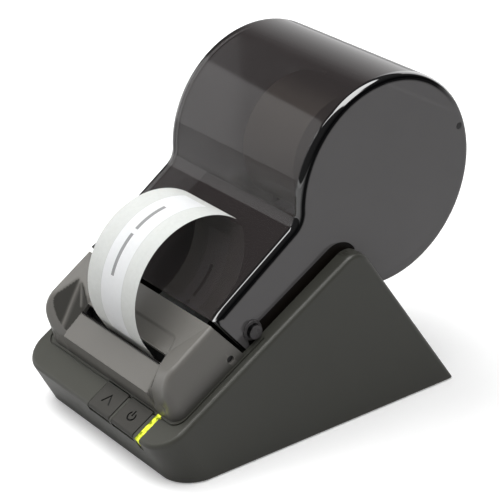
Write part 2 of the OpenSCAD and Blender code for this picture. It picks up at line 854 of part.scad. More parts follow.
module print_cover() {
    far = [pc_foot_s[1], 0];
    color([0.44, 0.43, 0.41]) on_slope() difference() {
        intersection() {
            union() {
                extrude_x(-pc_mid_x - 2, pc_mid_x + 2) polygon([
                    [pc_foot_s[0], 0], [pc_foot_s[0] + 1.2, 7], [lip_s, lip_low_n],
                    [slot_s[0], lip_high_n], [slot_s[0], 7], [slot_s[1], 7], [slot_s[1], panel_n],
                    pc_top, far]);
                both_sides() shoulder();
            }
            extrude_x(-base_w, base_w)
                polygon([[0, 0], far, pc_top + 0.1 * (pc_top - far), [0, 2 * pc_top[1]]]);
        }
        box([-open_hw + 1.7, open_hw - 1.7], [open_s, pc_top[0] + 1], [-1, 6]);
        extrude_x(-plate_x - 6.4, plate_x + 6.4) polygon([
            [18.8, -1], [18.8, 7.6], [slot_s[0], 10.8], [slot_s[1], 12], [pc_top[0] + 1, 12],
            [pc_top[0] + 1, -1]]);
        extrude_x(-slot_w / 2 - 3, slot_w / 2 + 3) polygon([
            [slot_s[1], 11], [slot_s[1] + 1, panel_n - pc_skin], pc_top - [1, pc_skin + 0.6],
            [pc_top[0], 11]]);
        box([-slot_w / 2, slot_w / 2], slot_s, [5, through]);
        both_sides() {
            bar(side_screw_r + 0.1, lug_x[1] - 1, through, side_screw_at);
            bar(1.7, open_hw - 0.5, through, side_screw_at);
        }
    }
}

module print_cover_screws() {
    color([0.2, 0.2, 0.2]) on_slope() both_sides() {
        bar(1.6, open_hw - 0.5 + seat, open_hw + 0.7, side_screw_at);
        bar(side_screw_r, lug_x[0] + 0.5, open_hw, side_screw_at);
    }
}

tear_t = 0.5;
tooth_step = 1.2;
tooth_h = 0.8;

module tear_bar() {
    count = floor(slot_w / tooth_step) - 1;
    start = -count * tooth_step / 2;
    root = lip_high_n + 0.2;
    outline = concat(
        [[start, 10.9], [start, root]],
        [for (i = [0:count - 1]) each [
            [start + (i + 0.5) * tooth_step, root + tooth_h], [start + (i + 1) * tooth_step, root]]],
        [[-start, 10.9]]);
    color([0.5, 0.5, 0.5]) on_slope()
        translate([0, slot_s[0] + tear_t + seat, 0]) rotate([90, 0, 0]) linear_extrude(tear_t)
            polygon(outline);
}

// ---- smoked cover ----

centre = [drum_s, drum_n];
front_top = [pc_top[0] + 1.7, cover_front_n];
front_low = [pc_foot_s[1] + 2, deck_top + 0.3];
rise_dir = ray(cover_rise);
rise_up = ray(90 + cover_rise);
drum_from_front = centre - front_top;
neck_u = drum_from_front * rise_dir
    - sqrt(pow(drum_r + neck_r, 2) - pow(drum_from_front * rise_up - neck_r, 2));
neck_at = front_top + neck_u * rise_dir + neck_r * rise_up;
neck_a0 = cover_rise - 90;
neck_a1 = angle_of(centre - neck_at);
drum_start = angle_of(neck_at - centre);
sheet_end = pin_turn + 7.5;
skirt_n = front_low[1];
flange_in = 4;
// The rim flange starts a little way round from the end of the skirt
flange_lead = 2;
flange_start = 180 + flange_lead + asin((drum_n - skirt_n) / drum_r);

// Outer line of the front panel and the hollow, up to the drum
function neck_line(inset) = concat(
    [front_top - inset * rise_up],
    arc(neck_at, neck_r + inset, neck_a0, neck_a1, 12));

// Part of a ring about the drum's axis, between two angles
module ring_part(r_in, r_out, a0, a1) {
    intersection() {
        difference() {
            translate(centre) circle(r = r_out);
            translate(centre) circle(r = r_in);
        }
        polygon(concat([centre], arc(centre, 2 * drum_r, a0, a1, 8)));
    }
}

module cover_side() {
    translate(centre) circle(r = drum_r);
    polygon(concat([front_low], neck_line(0), [centre, [drum_s, skirt_n]]));
}

module roll_cover() {
    inner_hw = cover_hw - cover_t;
    color([0.16, 0.16, 0.17, 0.6]) on_slope() difference() {
        union() {
            both_sides() {
                extrude_x(inner_hw, cover_hw) cover_side();
                extrude_x(inner_hw - flange_in, inner_hw)
                    ring_part(drum_r - cover_t, drum_r, flange_start, 360 + sheet_end);
            }
            extrude_x(-inner_hw, inner_hw) {
                ring_part(drum_r - cover_t, drum_r, sheet_end, drum_start);
                polygon(concat(neck_line(0), reverse(neck_line(cover_t))));
            }
        }
        both_sides() bar(pin_r + run, inner_hw - 1, through, pin_at);
    }
}

stud_at = [64.6, 4.7];

module latch_studs() {
    color([0.12, 0.12, 0.13]) on_slope() both_sides() {
        bar(4.5, cover_hw + seat, cover_hw + 0.8, stud_at);
        bar(3.25, cover_hw + 0.5, cover_hw + 3, stud_at);
    }
}

module hinge_pins() {
    color([0.7, 0.7, 0.72]) on_slope() both_sides() bar(pin_r, pin_x, cover_hw, pin_at);
}

base_shell();
bottom_cover();
bottom_screws();
rubber_feet();
deck();
deck_screws();
roll_trough();
left_arm();
right_arm();
inner_housing();
print_cover();
print_cover_screws();
tear_bar();
mech_frame();
print_head();
head_heatsink();
head_springs();
platen_shaft();
platen_rubber();
platen_bushes();
platen_gear();
idler_gear();
stepper_motor();
motor_pinion();
spool_core();
left_flange();
right_flange();
label_roll();
label_strip();
roll_cover();
latch_studs();
hinge_pins();
feed_button();
power_button();
button_board();
button_switches();
status_light();
status_led();
main_board();
board_parts();
io_board();
usb_socket();
dc_inlet();
label_sensor();
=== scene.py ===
import math
from contextlib import contextmanager
from functools import partial

import bmesh
import bpy
import numpy as np
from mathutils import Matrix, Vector


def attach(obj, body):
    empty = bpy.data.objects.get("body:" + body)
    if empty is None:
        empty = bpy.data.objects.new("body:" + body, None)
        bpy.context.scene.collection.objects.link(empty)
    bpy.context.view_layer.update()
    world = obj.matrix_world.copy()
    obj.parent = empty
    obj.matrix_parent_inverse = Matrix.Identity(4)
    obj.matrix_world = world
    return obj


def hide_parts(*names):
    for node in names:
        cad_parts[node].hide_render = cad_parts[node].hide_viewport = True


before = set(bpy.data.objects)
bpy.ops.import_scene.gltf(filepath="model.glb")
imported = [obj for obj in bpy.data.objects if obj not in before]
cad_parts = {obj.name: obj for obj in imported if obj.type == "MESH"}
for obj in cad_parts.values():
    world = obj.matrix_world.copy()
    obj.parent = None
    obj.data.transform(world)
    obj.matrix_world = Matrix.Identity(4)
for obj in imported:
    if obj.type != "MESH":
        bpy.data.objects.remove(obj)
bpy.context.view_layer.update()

# ---- sizes of the printer, in millimetres ----

MM = 0.001
SLOPE = math.radians(31)
ALONG = np.array([math.cos(SLOPE), math.sin(SLOPE)])
ABOVE = np.array([-math.sin(SLOPE), math.cos(SLOPE)])
LEDGE_START = np.array([-86.5222, 20.65])

BASE_HALF = 53.0
LEDGE_LENGTH = 121.8
RIDGE_RADIUS = 9.0
CORNER_RADIUS = 13.0
FRONT_LEAN = math.radians(27.9)
BACK_LEAN = math.radians(35.25)

DRUM = np.array([150.5, 7.3])
DRUM_RADIUS = 47.8
COVER_HALF = 45.0
COVER_WALL = 2.0
GAP = 0.03
COVER_FRONT_TOP = np.array([52.9, 23.0])
COVER_FRONT_LOW = np.array([57.2, -2.92])
COVER_RISE = math.radians(4.4)
NECK_RADIUS = 8.0
SHEET_END = -2.8
FLANGE_EDGE = 39.0
HINGE_TURN = math.radians(-10.3)
HINGE_PIN = DRUM + 43.5 * np.array([math.cos(HINGE_TURN), math.sin(HINGE_TURN)])
HINGE_BORE = 1.5

SLOT_HALF = 29.1
SLOT = (28.6, 33.2)
WEB_HALF = 17.2
SCREW_AT = (49.2, 3.9)
BEYOND = 60.0


def on_slope(x, s, n):
    """World place, in metres, of points given across the printer, up the ledge and above it."""
    x, s, n = np.broadcast_arrays(np.asarray(x, float), np.asarray(s, float), np.asarray(n, float))
    y = LEDGE_START[0] + s * ALONG[0] + n * ABOVE[0]
    z = LEDGE_START[1] + s * ALONG[1] + n * ABOVE[1]
    return np.stack([x, y, z], -1) * MM


def ray(angle):
    """Unit vector at an angle given in radians."""
    return np.stack([np.cos(angle), np.sin(angle)], -1)


def run_length(path):
    """Distance along a row of points from its first one."""
    return np.concatenate([[0], np.cumsum(np.linalg.norm(np.diff(path, axis=0), axis=1))])


# ---- meshes ----

def placed(name, data):
    """A new object in the scene."""
    thing = bpy.data.objects.new(name, data)
    bpy.context.scene.collection.objects.link(thing)
    return thing


@contextmanager
def opened(mesh):
    """A mesh opened for edits, which are written back at the end."""
    work = bmesh.new()
    work.from_mesh(mesh)
    yield work
    work.to_mesh(mesh)
    work.free()


def new_piece(name, points, faces, values=None, merge=True):
    """A closed mesh object at the origin with its faces turned outward and values at its points."""
    mesh = bpy.data.meshes.new(name)
    mesh.from_pydata(np.asarray(points, float).reshape(-1, 3).tolist(), [], faces)
    for key, numbers in (values or {}).items():
        layer = mesh.attributes.new(key, "FLOAT", "POINT")
        layer.data.foreach_set("value", np.asarray(numbers, np.float32))
    with opened(mesh) as work:
        if merge:
            bmesh.ops.remove_doubles(work, verts=work.verts, dist=1e-7)
        bmesh.ops.recalc_face_normals(work, faces=work.faces)
        if work.calc_volume(signed=True) < 0:
            bmesh.ops.reverse_faces(work, faces=work.faces)
    return placed(name, mesh)


def shade(piece, degrees, broad=1e9):
    """Smooth shading that breaks at edges sharper than the angle.

    Faces broader than the area, in square mm, are kept flat.
    """
    mesh = piece.data
    mesh.polygons.foreach_set("use_smooth", np.ones(len(mesh.polygons), bool))
    mesh.set_sharp_from_angle(angle=math.radians(degrees))
    for face in mesh.polygons:
        if face.area > broad * MM ** 2:
            face.use_smooth = False
    weighted = piece.modifiers.new("weighted", "WEIGHTED_NORMAL")
    weighted.keep_sharp = True


def grid_faces(rows, cols, start=0):
    """Quads of a grid of points numbered row by row."""
    a = np.arange(rows - 1)[:, None] * cols + np.arange(cols - 1)[None, :]
    quads = np.stack([a, a + 1, a + 1 + cols, a + cols], -1).reshape(-1, 4) + start
    return quads.tolist()


def walled(name, ends):
    """Solid between two equal loops of points."""
    count = len(ends[0])
    loop = np.arange(count)
    after = (loop + 1) % count
    walls = np.stack([loop, after, after + count, loop + count], -1).tolist()
    caps = [loop[::-1].tolist(), (loop + count).tolist()]
    return new_piece(name, np.concatenate(ends), walls + caps)


def prism(name, outline, low, high):
    """Solid between two planes across the printer, with a side outline of [s, n] points."""
    s, n = np.asarray(outline, float).T
    return walled(name, [on_slope(x, s, n) for x in (low, high)])


def tower(name, outline, low, high):
    """Solid that stands on the ledge, with a plan outline of [x, s] points and two heights."""
    x, s = np.asarray(outline, float).T
    return walled(name, [on_slope(x, s, n) for n in (low, high)])


def both_sides(outline, low):
    """The same prism at the right and at the left, from a distance off the middle outward."""
    return [prism("right_tool", outline, low, BEYOND), prism("left_tool", outline, -BEYOND, -low)]


def box_outline(a, b, c, d):
    """Corners of the rectangle from [a, c] to [b, d], in order."""
    return [[a, c], [b, c], [b, d], [a, d]]


def circle_outline(centre, radius):
    """Points round a circle."""
    count = 48
    return np.asarray(centre) + radius * ray(np.arange(count) * 2 * np.pi / count)


def carve(piece, tools, how="DIFFERENCE"):
    """Cuts the tools out of a piece, or keeps what they share with it, and removes them."""
    for tool in tools:
        cut = piece.modifiers.new("cut", "BOOLEAN")
        cut.object = tool
        cut.operation = how
        cut.solver = "MANIFOLD"
        cut.material_mode = "INDEX"
    depsgraph = bpy.context.evaluated_depsgraph_get()
    result = bpy.data.meshes.new_from_object(piece.evaluated_get(depsgraph))
    piece.modifiers.clear()
    piece.data = result
    for tool in tools:
        bpy.data.objects.remove(tool)


def copy_of(node, name):
    """A merged copy of a CAD node as a new object."""
    piece = placed(name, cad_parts[node].data.copy())
    with opened(piece.data) as work:
        bmesh.ops.remove_doubles(work, verts=work.verts, dist=2e-6)
    return piece


def eased(node, body, width, material, tools=(), inlay=None):
    """A CAD node with its flat faces joined, its sharp edges rounded and its marks engraved."""
    piece = copy_of(node, node + "_eased")
    with opened(piece.data) as work:
        bmesh.ops.dissolve_limit(work, angle_limit=math.radians(1), verts=work.verts,
                                 edges=work.edges)
    bevel = piece.modifiers.new("bevel", "BEVEL")
    bevel.width = width * MM
    bevel.segments = 2
    bevel.limit_method = "ANGLE"
    bevel.angle_limit = math.radians(40)
    bevel.use_clamp_overlap = True
    if tools:
        let_in(piece, tools, material, inlay)
    shade(piece, 42)
    if tools:
        return with_inlay(piece, body, node, material, inlay)
    return dress(piece, body, material, node)


def let_in(piece, tools, material, inlay):
    """Cuts the tools out of a piece and leaves the cut faces to the second material."""
    piece.data.materials.append(material)
    for tool in tools:
        tool.data.materials.append(material)
        tool.data.materials.append(inlay)
        marks = np.ones(len(tool.data.polygons), np.int32)
        tool.data.polygons.foreach_set("material_index", marks)
    carve(piece, tools)


def with_inlay(piece, body, node, material, inlay):
    """Dresses a piece in two materials and keeps which of its faces have the second."""
    marks = np.zeros(len(piece.data.polygons), np.int32)
    piece.data.polygons.foreach_get("material_index", marks)
    dress(piece, body, material, node)
    piece.data.materials.append(inlay)
    piece.data.polygons.foreach_set("material_index", marks)
    return piece


def dress(piece, body, material, *nodes):
    """Gives a piece its material, its body and the nodes that it stands for."""
    piece.data.materials.clear()
    piece.data.materials.append(material)
    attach(piece, body)
    if nodes:
        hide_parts(*nodes)
    return piece


# ---- materials ----

def srgb(r, g, b):
    """Linear colour of an 8 bit screen colour."""
    v = np.array([r, g, b]) / 255.0
    linear = np.where(v <= 0.04045, v / 12.92, ((v + 0.055) / 1.055) ** 2.4)
    return (*linear.tolist(), 1.0)


def fill(tree, sockets, values):
    """Links each value that is a socket and writes each one that is a plain number or colour."""
    for socket, value in zip(sockets, values):
        if isinstance(value, (tuple, float, int)):
            socket.default_value = value
        elif value is not None:
            tree.links.new(value, socket)


def number_node(tree, operation, a, b=None):
    """One step of arithmetic on sockets or plain numbers."""
    node = tree.nodes.new("ShaderNodeMath")
    node.operation = operation
    fill(tree, node.inputs, (a, b))
    return node.outputs[0]


def range_node(tree, value, start, end, low, high, way="LINEAR"):
    """Carries a value between start and end to one between low and high."""
    node = tree.nodes.new("ShaderNodeMapRange")
    node.interpolation_type = way
    names = ("Value", "From Min", "From Max", "To Min", "To Max")
    fill(tree, [node.inputs[name] for name in names], (value, start, end, low, high))
    return node.outputs["Result"]


class Shader:
    """A node material that is built up from one Principled shader."""

    def __init__(self, name):
        self.material = bpy.data.materials.new(name)
        self.material.use_nodes = True
        self.tree = self.material.node_tree
        self.main = self.tree.nodes["Principled BSDF"]
        self.place = self.add("ShaderNodeTexCoord").outputs["Object"]

    def add(self, kind, **values):
        node = self.tree.nodes.new(kind)
        for key, value in values.items():
            setattr(node, key, value)
        return node

    def link(self, source, target):
        self.tree.links.new(source, target)

    def set(self, **values):
        """Sets or links sockets of the Principled shader by name, with _ for a space."""
        sockets = [self.main.inputs[key.replace("_", " ")] for key in values]
        fill(self.tree, sockets, values.values())

    def noise(self, scale, detail=3.0, rough=0.55, place=None):
        node = self.add("ShaderNodeTexNoise")
        node.inputs["Scale"].default_value = scale
        node.inputs["Detail"].default_value = detail
        node.inputs["Roughness"].default_value = rough
        self.link(place or self.place, node.inputs["Vector"])
        return node.outputs["Fac"]

    def span(self, value, low, high, start=0.3, end=0.7):
        """Carries a value between start and end to one between low and high."""
        return range_node(self.tree, value, start, end, low, high)

    def mix(self, share, first, second):
        """Colour between two colours, each a socket or a plain colour."""
        node = self.add("ShaderNodeMix", data_type="RGBA")
        fill(self.tree, [node.inputs[k] for k in (0, 6, 7)], (share, first, second))
        return node.outputs[2]

    def maths(self, operation, a, b=None):
        return number_node(self.tree, operation, a, b)

    def times(self, a, b):
        return self.maths("MULTIPLY", a, b)

    def bump(self, height, strength, distance):
        node = self.add("ShaderNodeBump")
        node.inputs["Strength"].default_value = strength
        node.inputs["Distance"].default_value = distance
        self.link(height, node.inputs["Height"])
        self.link(node.outputs["Normal"], self.main.inputs["Normal"])

    def attribute(self, name):
        return self.add("ShaderNodeAttribute", attribute_name=name).outputs["Fac"]

    def axes(self):
        """The X, Y and Z of a place in the object."""
        node = self.add("ShaderNodeSeparateXYZ")
        self.link(self.place, node.inputs["Vector"])
        return node.outputs

    def scaled(self, scale, shift=(0.0, 0.0, 0.0)):
        """A place in the object, scaled and then shifted."""
        node = self.add("ShaderNodeMapping")
        node.inputs["Scale"].default_value = scale
        node.inputs["Location"].default_value = shift
        self.link(self.place, node.inputs["Vector"])
        return node.outputs["Vector"]

    def length(self, vector):
        node = self.add("ShaderNodeVectorMath", operation="LENGTH")
        self.link(vector, node.inputs[0])
        return node.outputs["Value"]


def shifted(colour, factor):
    """The same colour, lighter or darker."""
    return (*[min(1.0, c * factor) for c in colour[:3]], 1.0)


def moulded(name, colour, rough=0.42, grain=0.05, spread=0.1, ior=1.5, hollow=None):
    """Moulded plastic: faint cloudy colour, a fine spark-eroded grain and uneven sheen.

    Where the shade attribute is set, shade is painted in: the colour darkens toward the one given
    for it.
    """
    s = Shader(name)
    cloud = s.noise(38.0, 4.0)
    fine = s.noise(2600.0, 2.0, 0.6)
    body = s.mix(cloud, shifted(colour, 1 - spread), shifted(colour, 1 + spread))
    if hollow:
        body = s.mix(s.attribute("hollow"), body, hollow)
    s.set(Base_Color=body, IOR=ior, Roughness=s.span(s.noise(90.0), rough - 0.03, rough + 0.03))
    s.bump(fine, grain, 0.0002)
    return s.material


def metal(name, colour, rough=0.3):
    """Plated metal with a faint brushed grain across the printer."""
    s = Shader(name)
    lines = s.noise(1400.0, 2.0, 0.6, s.scaled((0.04, 1.0, 1.0)))
    s.set(Base_Color=s.mix(s.noise(60.0), shifted(colour, 0.9), shifted(colour, 1.08)),
          Roughness=s.span(lines, rough - 0.06, rough + 0.1), Metallic=1.0)
    s.bump(lines, 0.08, 0.0001)
    return s.material


def rubber(name, colour):
    """Dull rubber with a soft powdery surface."""
    s = Shader(name)
    s.set(Base_Color=s.mix(s.noise(150.0), shifted(colour, 0.8), shifted(colour, 1.25)),
          Roughness=s.span(s.noise(300.0), 0.7, 0.9))
    s.bump(s.noise(1800.0), 0.15, 0.0002)
    return s.material


def circuit(name):
    """Green solder mask over faint copper tracks."""
    s = Shader(name)
    tracks = s.add("ShaderNodeTexBrick")
    tracks.inputs["Scale"].default_value = 160.0
    tracks.inputs["Mortar Size"].default_value = 0.04
    s.link(s.place, tracks.inputs["Vector"])
    s.set(Base_Color=s.mix(tracks.outputs["Fac"], srgb(18, 70, 40), srgb(40, 104, 58)),
          Roughness=s.span(s.noise(200.0), 0.25, 0.4))
    s.bump(tracks.outputs["Fac"], 0.1, 0.0001)
    return s.material


BASE_PLASTIC = moulded("base_plastic", srgb(65, 65, 60), rough=0.35, grain=0.02, spread=0.05,
                       ior=1.42)
MARK_PLASTIC = moulded("mark_plastic", srgb(26, 26, 25), rough=0.5, ior=1.3)
KEY_PLASTIC = moulded("key_plastic", srgb(60, 59, 56), rough=0.4, ior=1.3)
# The block's second, darker colour is painted shade, for its shoulders' inner walls and its walls'
# foot.
BLOCK_PLASTIC = moulded("block_plastic", srgb(108, 106, 102), rough=0.34, spread=0.06, ior=1.45,
                        hollow=srgb(58, 57, 54))
INNER_PLASTIC = moulded("inner_plastic", srgb(22, 20, 19), rough=0.6, ior=1.15)
DARK_PLASTIC = moulded("dark_plastic", srgb(24, 24, 25), rough=0.38)
PALE_PLASTIC = moulded("gear_plastic", srgb(226, 224, 216), rough=0.4)
STEEL = metal("zinc_plate", srgb(170, 172, 176))
BRASS = metal("bronze_bush", srgb(176, 140, 84))
BLADE = metal("dark_plate", srgb(58, 57, 56), rough=0.45)
RUBBER = rubber("black_rubber", srgb(26, 26, 27))
BOARD = circuit("circuit_board")

# Places in the cover, in metres, and shares by which it is solid or keeps its sheen.
PLATE_FROM = (0.0428, 0.0434)
BACK_FROM = (0.022, 0.033)
LEFT_SOLID, RIGHT_SOLID = 0.55, 0.9
OUTER_SOLID, INNER_SOLID = 0.72, 0.2
INNER_SHEEN = 0.16


def smoked_material():
    """Smoked acrylic: dark and mirror smooth, see-through by a share that is least in the rim.

    The side plates, found by their distance from the middle, are greyer than the sheet: their
    lighter grey is painted reflection of the pale floor that they mirror. The right one is nearly
    solid. The sheet turns solid toward the rear of the drum. The attributes rim, within and gleam
    mark the round edges, the inner skin and the edges' upper half.
    """
    s = Shader("smoked_acrylic")
    axes = s.axes()
    side = s.span(s.maths("ABSOLUTE", axes["X"]), 0.0, 1.0, *PLATE_FROM)
    rim, within, gleam = s.attribute("rim"), s.attribute("within"), s.attribute("gleam")
    without = s.maths("SUBTRACT", 1.0, within)
    cloud = s.noise(20.0)
    # Painted reflection: the side plates' lighter grey stands in for the pale floor that they
    # mirror.
    body = s.mix(side, s.mix(cloud, srgb(45, 41, 41), srgb(52, 48, 48)),
                 s.mix(cloud, srgb(88, 86, 87), srgb(94, 92, 93)))
    sheen = s.maths("ADD", s.times(rim, s.span(gleam, -0.45, 0.5, 0.0, 1.0)), 0.5)
    back = s.times(s.span(axes["Y"], 0.0, 1.0, *BACK_FROM), s.maths("SUBTRACT", 1.0, side))
    plate = s.times(side, s.span(axes["X"], LEFT_SOLID, RIGHT_SOLID, -0.001, 0.001))
    solid = s.maths("MAXIMUM", rim, s.maths("MAXIMUM", plate, back))
    outside = s.span(solid, OUTER_SOLID, 1.0, 0.0, 1.0)
    inside = s.span(solid, INNER_SOLID, 1.0, 0.0, 1.0)
    s.set(Base_Color=s.mix(rim, body, srgb(6, 6, 7)),
          Roughness=s.span(s.noise(120.0), 0.03, 0.06),
          Specular_IOR_Level=s.times(sheen, s.span(within, 1.0, INNER_SHEEN, 0.0, 1.0)),
          Coat_Weight=s.times(gleam, without), Coat_Roughness=0.03, IOR=1.5,
          Alpha=s.maths("ADD", s.times(outside, without), s.times(inside, within)))
    return s.material


SMOKED = smoked_material()


def stud_material():
    """Black stud whose face and foot, found by their distance from the middle, are dark grey."""
    s = Shader("latch_stud")
    out = s.maths("ABSOLUTE", s.axes()["X"])
    face = s.maths("ADD", s.span(out, 0.0, 1.0, 0.0478, 0.0480),
                   s.span(out, 1.0, 0.0, 0.0458, 0.0459))
    s.set(Base_Color=s.mix(face, s.mix(s.noise(60.0), srgb(8, 8, 9), srgb(12, 12, 13)),
                           s.mix(s.noise(40.0), srgb(72, 70, 71), srgb(78, 76, 77))),
          Roughness=s.span(s.noise(200.0), 0.25, 0.32), Specular_IOR_Level=0.2)
    s.bump(s.noise(900.0), 0.02, 0.0001)
    return s.material


def glow_material():
    """Clear light guide lit from one end, yellow-green, with brighter patches."""
    s = Shader("light_guide")
    patches = s.noise(420.0, 1.0, 0.4)
    colour = s.mix(s.span(patches, 0.0, 1.0, 0.38, 0.6), srgb(120, 132, 0), srgb(236, 246, 70))
    s.set(Base_Color=colour, Emission_Color=colour, Roughness=0.2, Emission_Strength=0.4)
    return s.material


GLOW = glow_material()

LABEL_HALF = 7.4
LABEL_PITCH = 92.0
LABEL_GAP = 9.0
LABEL_EDGE = 0.13
BARS = ((24.5, 40.5), (43.0, 62.5))
BAR_PLACE = -0.6
BAR_HALF = 0.95


def paper_material():
    """Label paper: white labels one after another on a greyer liner, with plain bars as print.

    The attribute along is the distance from the torn end and across is from the middle, in mm.
    """
    s = Shader("label_web")
    along, across = s.attribute("along"), s.attribute("across")
    fibre = s.noise(500.0)
    liner = s.mix(fibre, srgb(206, 208, 203), srgb(222, 224, 220))
    label = s.mix(fibre, srgb(236, 237, 237), srgb(246, 247, 247))

    def near(value, middle, reach):
        return s.maths("LESS_THAN", s.maths("ABSOLUTE", s.maths("SUBTRACT", value, middle)), reach)

    half = s.maths("ABSOLUTE", across)
    period = s.maths("MODULO", along, LABEL_PITCH)
    here = s.times(s.maths("LESS_THAN", half, LABEL_HALF),
                   s.maths("GREATER_THAN", period, LABEL_GAP))
    edge = s.times(near(half, LABEL_HALF, LABEL_EDGE), 0.45)
    colour = s.mix(edge, s.mix(here, liner, label), srgb(176, 177, 174))
    first, second = [s.times(s.maths("GREATER_THAN", along, low),
                             s.maths("LESS_THAN", along, high)) for low, high in BARS]
    ink = s.times(s.maths("ADD", first, second), near(across, BAR_PLACE, BAR_HALF))
    s.set(Base_Color=s.mix(s.times(ink, 0.72), colour, srgb(60, 60, 62)),
          Roughness=s.span(fibre, 0.5, 0.62), Subsurface_Weight=0.7, Subsurface_Scale=0.0008,
          Subsurface_Radius=(1.0, 0.95, 0.9))
    s.bump(fibre, 0.06, 0.0001)
    return s.material


PAPER = paper_material()

ROLL_AXIS = (0.0, 0.0392351, 0.1064789)
RINGS = 9000.0


def roll_material():
    """Edges of a wound roll: rings of paper about the roll's axis, with plain paper outside."""
    s = Shader("wound_paper")
    radius = s.length(s.scaled((0.0, 1.0, 1.0), [-c for c in ROLL_AXIS]))
    wave = s.maths("SINE", s.times(radius, RINGS))
    s.set(Base_Color=s.mix(s.span(wave, 0.0, 1.0, -1.0, 1.0), srgb(150, 140, 130),
                           srgb(172, 162, 150)),
          Roughness=s.span(s.noise(300.0), 0.55, 0.7))
    s.bump(wave, 0.1, 0.0001)
    return s.material


ROLL = roll_material()

# ---- base ----

INSET = 0.06
FRONT_EDGE_ROUND = 1.7
SIDE_EDGE_ROUND = 2.0
EDGE_TAIL = 1.2
CORNER_STEPS = 18
BACK_LENGTH = 100.0
FOOT_LEVEL = 0.3
UNDER = -5.0


def base_outline():
    """Half of the base's upper edge, from the front middle round the corner and over the ridge.

    Each station has its place, the way inward over the top and the way down the wall. The front
    corner is a quarter ellipse where the leaning corner cylinder meets the ledge, the ridge is
    an arc tangent to the ledge and to the back wall.
    """
    half = BASE_HALF - INSET
    up_front = ray(np.pi / 2 + FRONT_LEAN)
    in_front = ray(FRONT_LEAN)
    start = LEDGE_START + INSET * (in_front - ABOVE)
    place, inward, down = [], [], []

    def ledge_point(depth):
        lift = -depth * (in_front @ ABOVE) / (up_front @ ABOVE)
        return start + depth * in_front + lift * up_front

    def add(yz, fall, x=half, way_in=(-1.0, 0.0, 0.0)):
        place.append([x, *yz])
        inward.append(way_in)
        down.append([0.0, *fall])

    for turn in np.linspace(0, np.pi / 2, CORNER_STEPS + 1):
        add(ledge_point(CORNER_RADIUS * (1 - np.cos(turn))), -up_front,
            half - CORNER_RADIUS + CORNER_RADIUS * np.sin(turn),
            [-np.sin(turn), *np.cos(turn) * ALONG])
    ridge = LEDGE_START + LEDGE_LENGTH * ALONG - INSET * ABOVE
    back_up = ray(np.pi / 2 + BACK_LEAN)
    back_out = ray(BACK_LEAN)
    radius = RIDGE_RADIUS - INSET
    fold = SLOPE - (BACK_LEAN - np.pi / 2)
    reach = radius * math.tan(fold / 2)
    centre = ridge - reach * ALONG - radius * ABOVE
    last = place[-1][1:]
    run = (centre + radius * ABOVE) - last
    for share in np.linspace(0.04, 0.96, 12):
        fall = (1 - share) * -up_front + share * -ABOVE
        add(last + share * run, fall / np.linalg.norm(fall))
    for turn in np.linspace(0, fold, 15):
        out = ray(np.pi / 2 + SLOPE - turn)
        add(centre + radius * out, -out)
    foot = centre + radius * back_out
    for drop in np.linspace(0.08, 1.0, 10):
        add(foot - back_up * drop * BACK_LENGTH, -back_out)
    return np.array(place), np.array(inward), np.array(down)


def rounded_front(half, front, back, radius):
    """Plan outline that is square at the back and round at its two front corners."""
    quarter = np.linspace(0, np.pi / 2, 12)
    right = np.stack([half - radius + radius * np.cos(quarter[::-1]),
                      front + radius - radius * np.sin(quarter[::-1])], -1)
    left = right[::-1] * [-1, 1]
    return np.concatenate([left, right, [[half, back], [-half, back]]])


def groove(name, half, front, back, radius, width, depth):
    """Tool for a narrow channel in the ledge that follows the block's foot."""
    outer = rounded_front(half, front, back, radius)
    inner = rounded_front(half - width, front + width, back, radius - width)
    ring = np.concatenate([outer[:-2], [[half, back], [half - width, back]], inner[:-2][::-1],
                           [[-half + width, back], [-half, back]]])
    return tower(name, ring, -depth, 1.0)


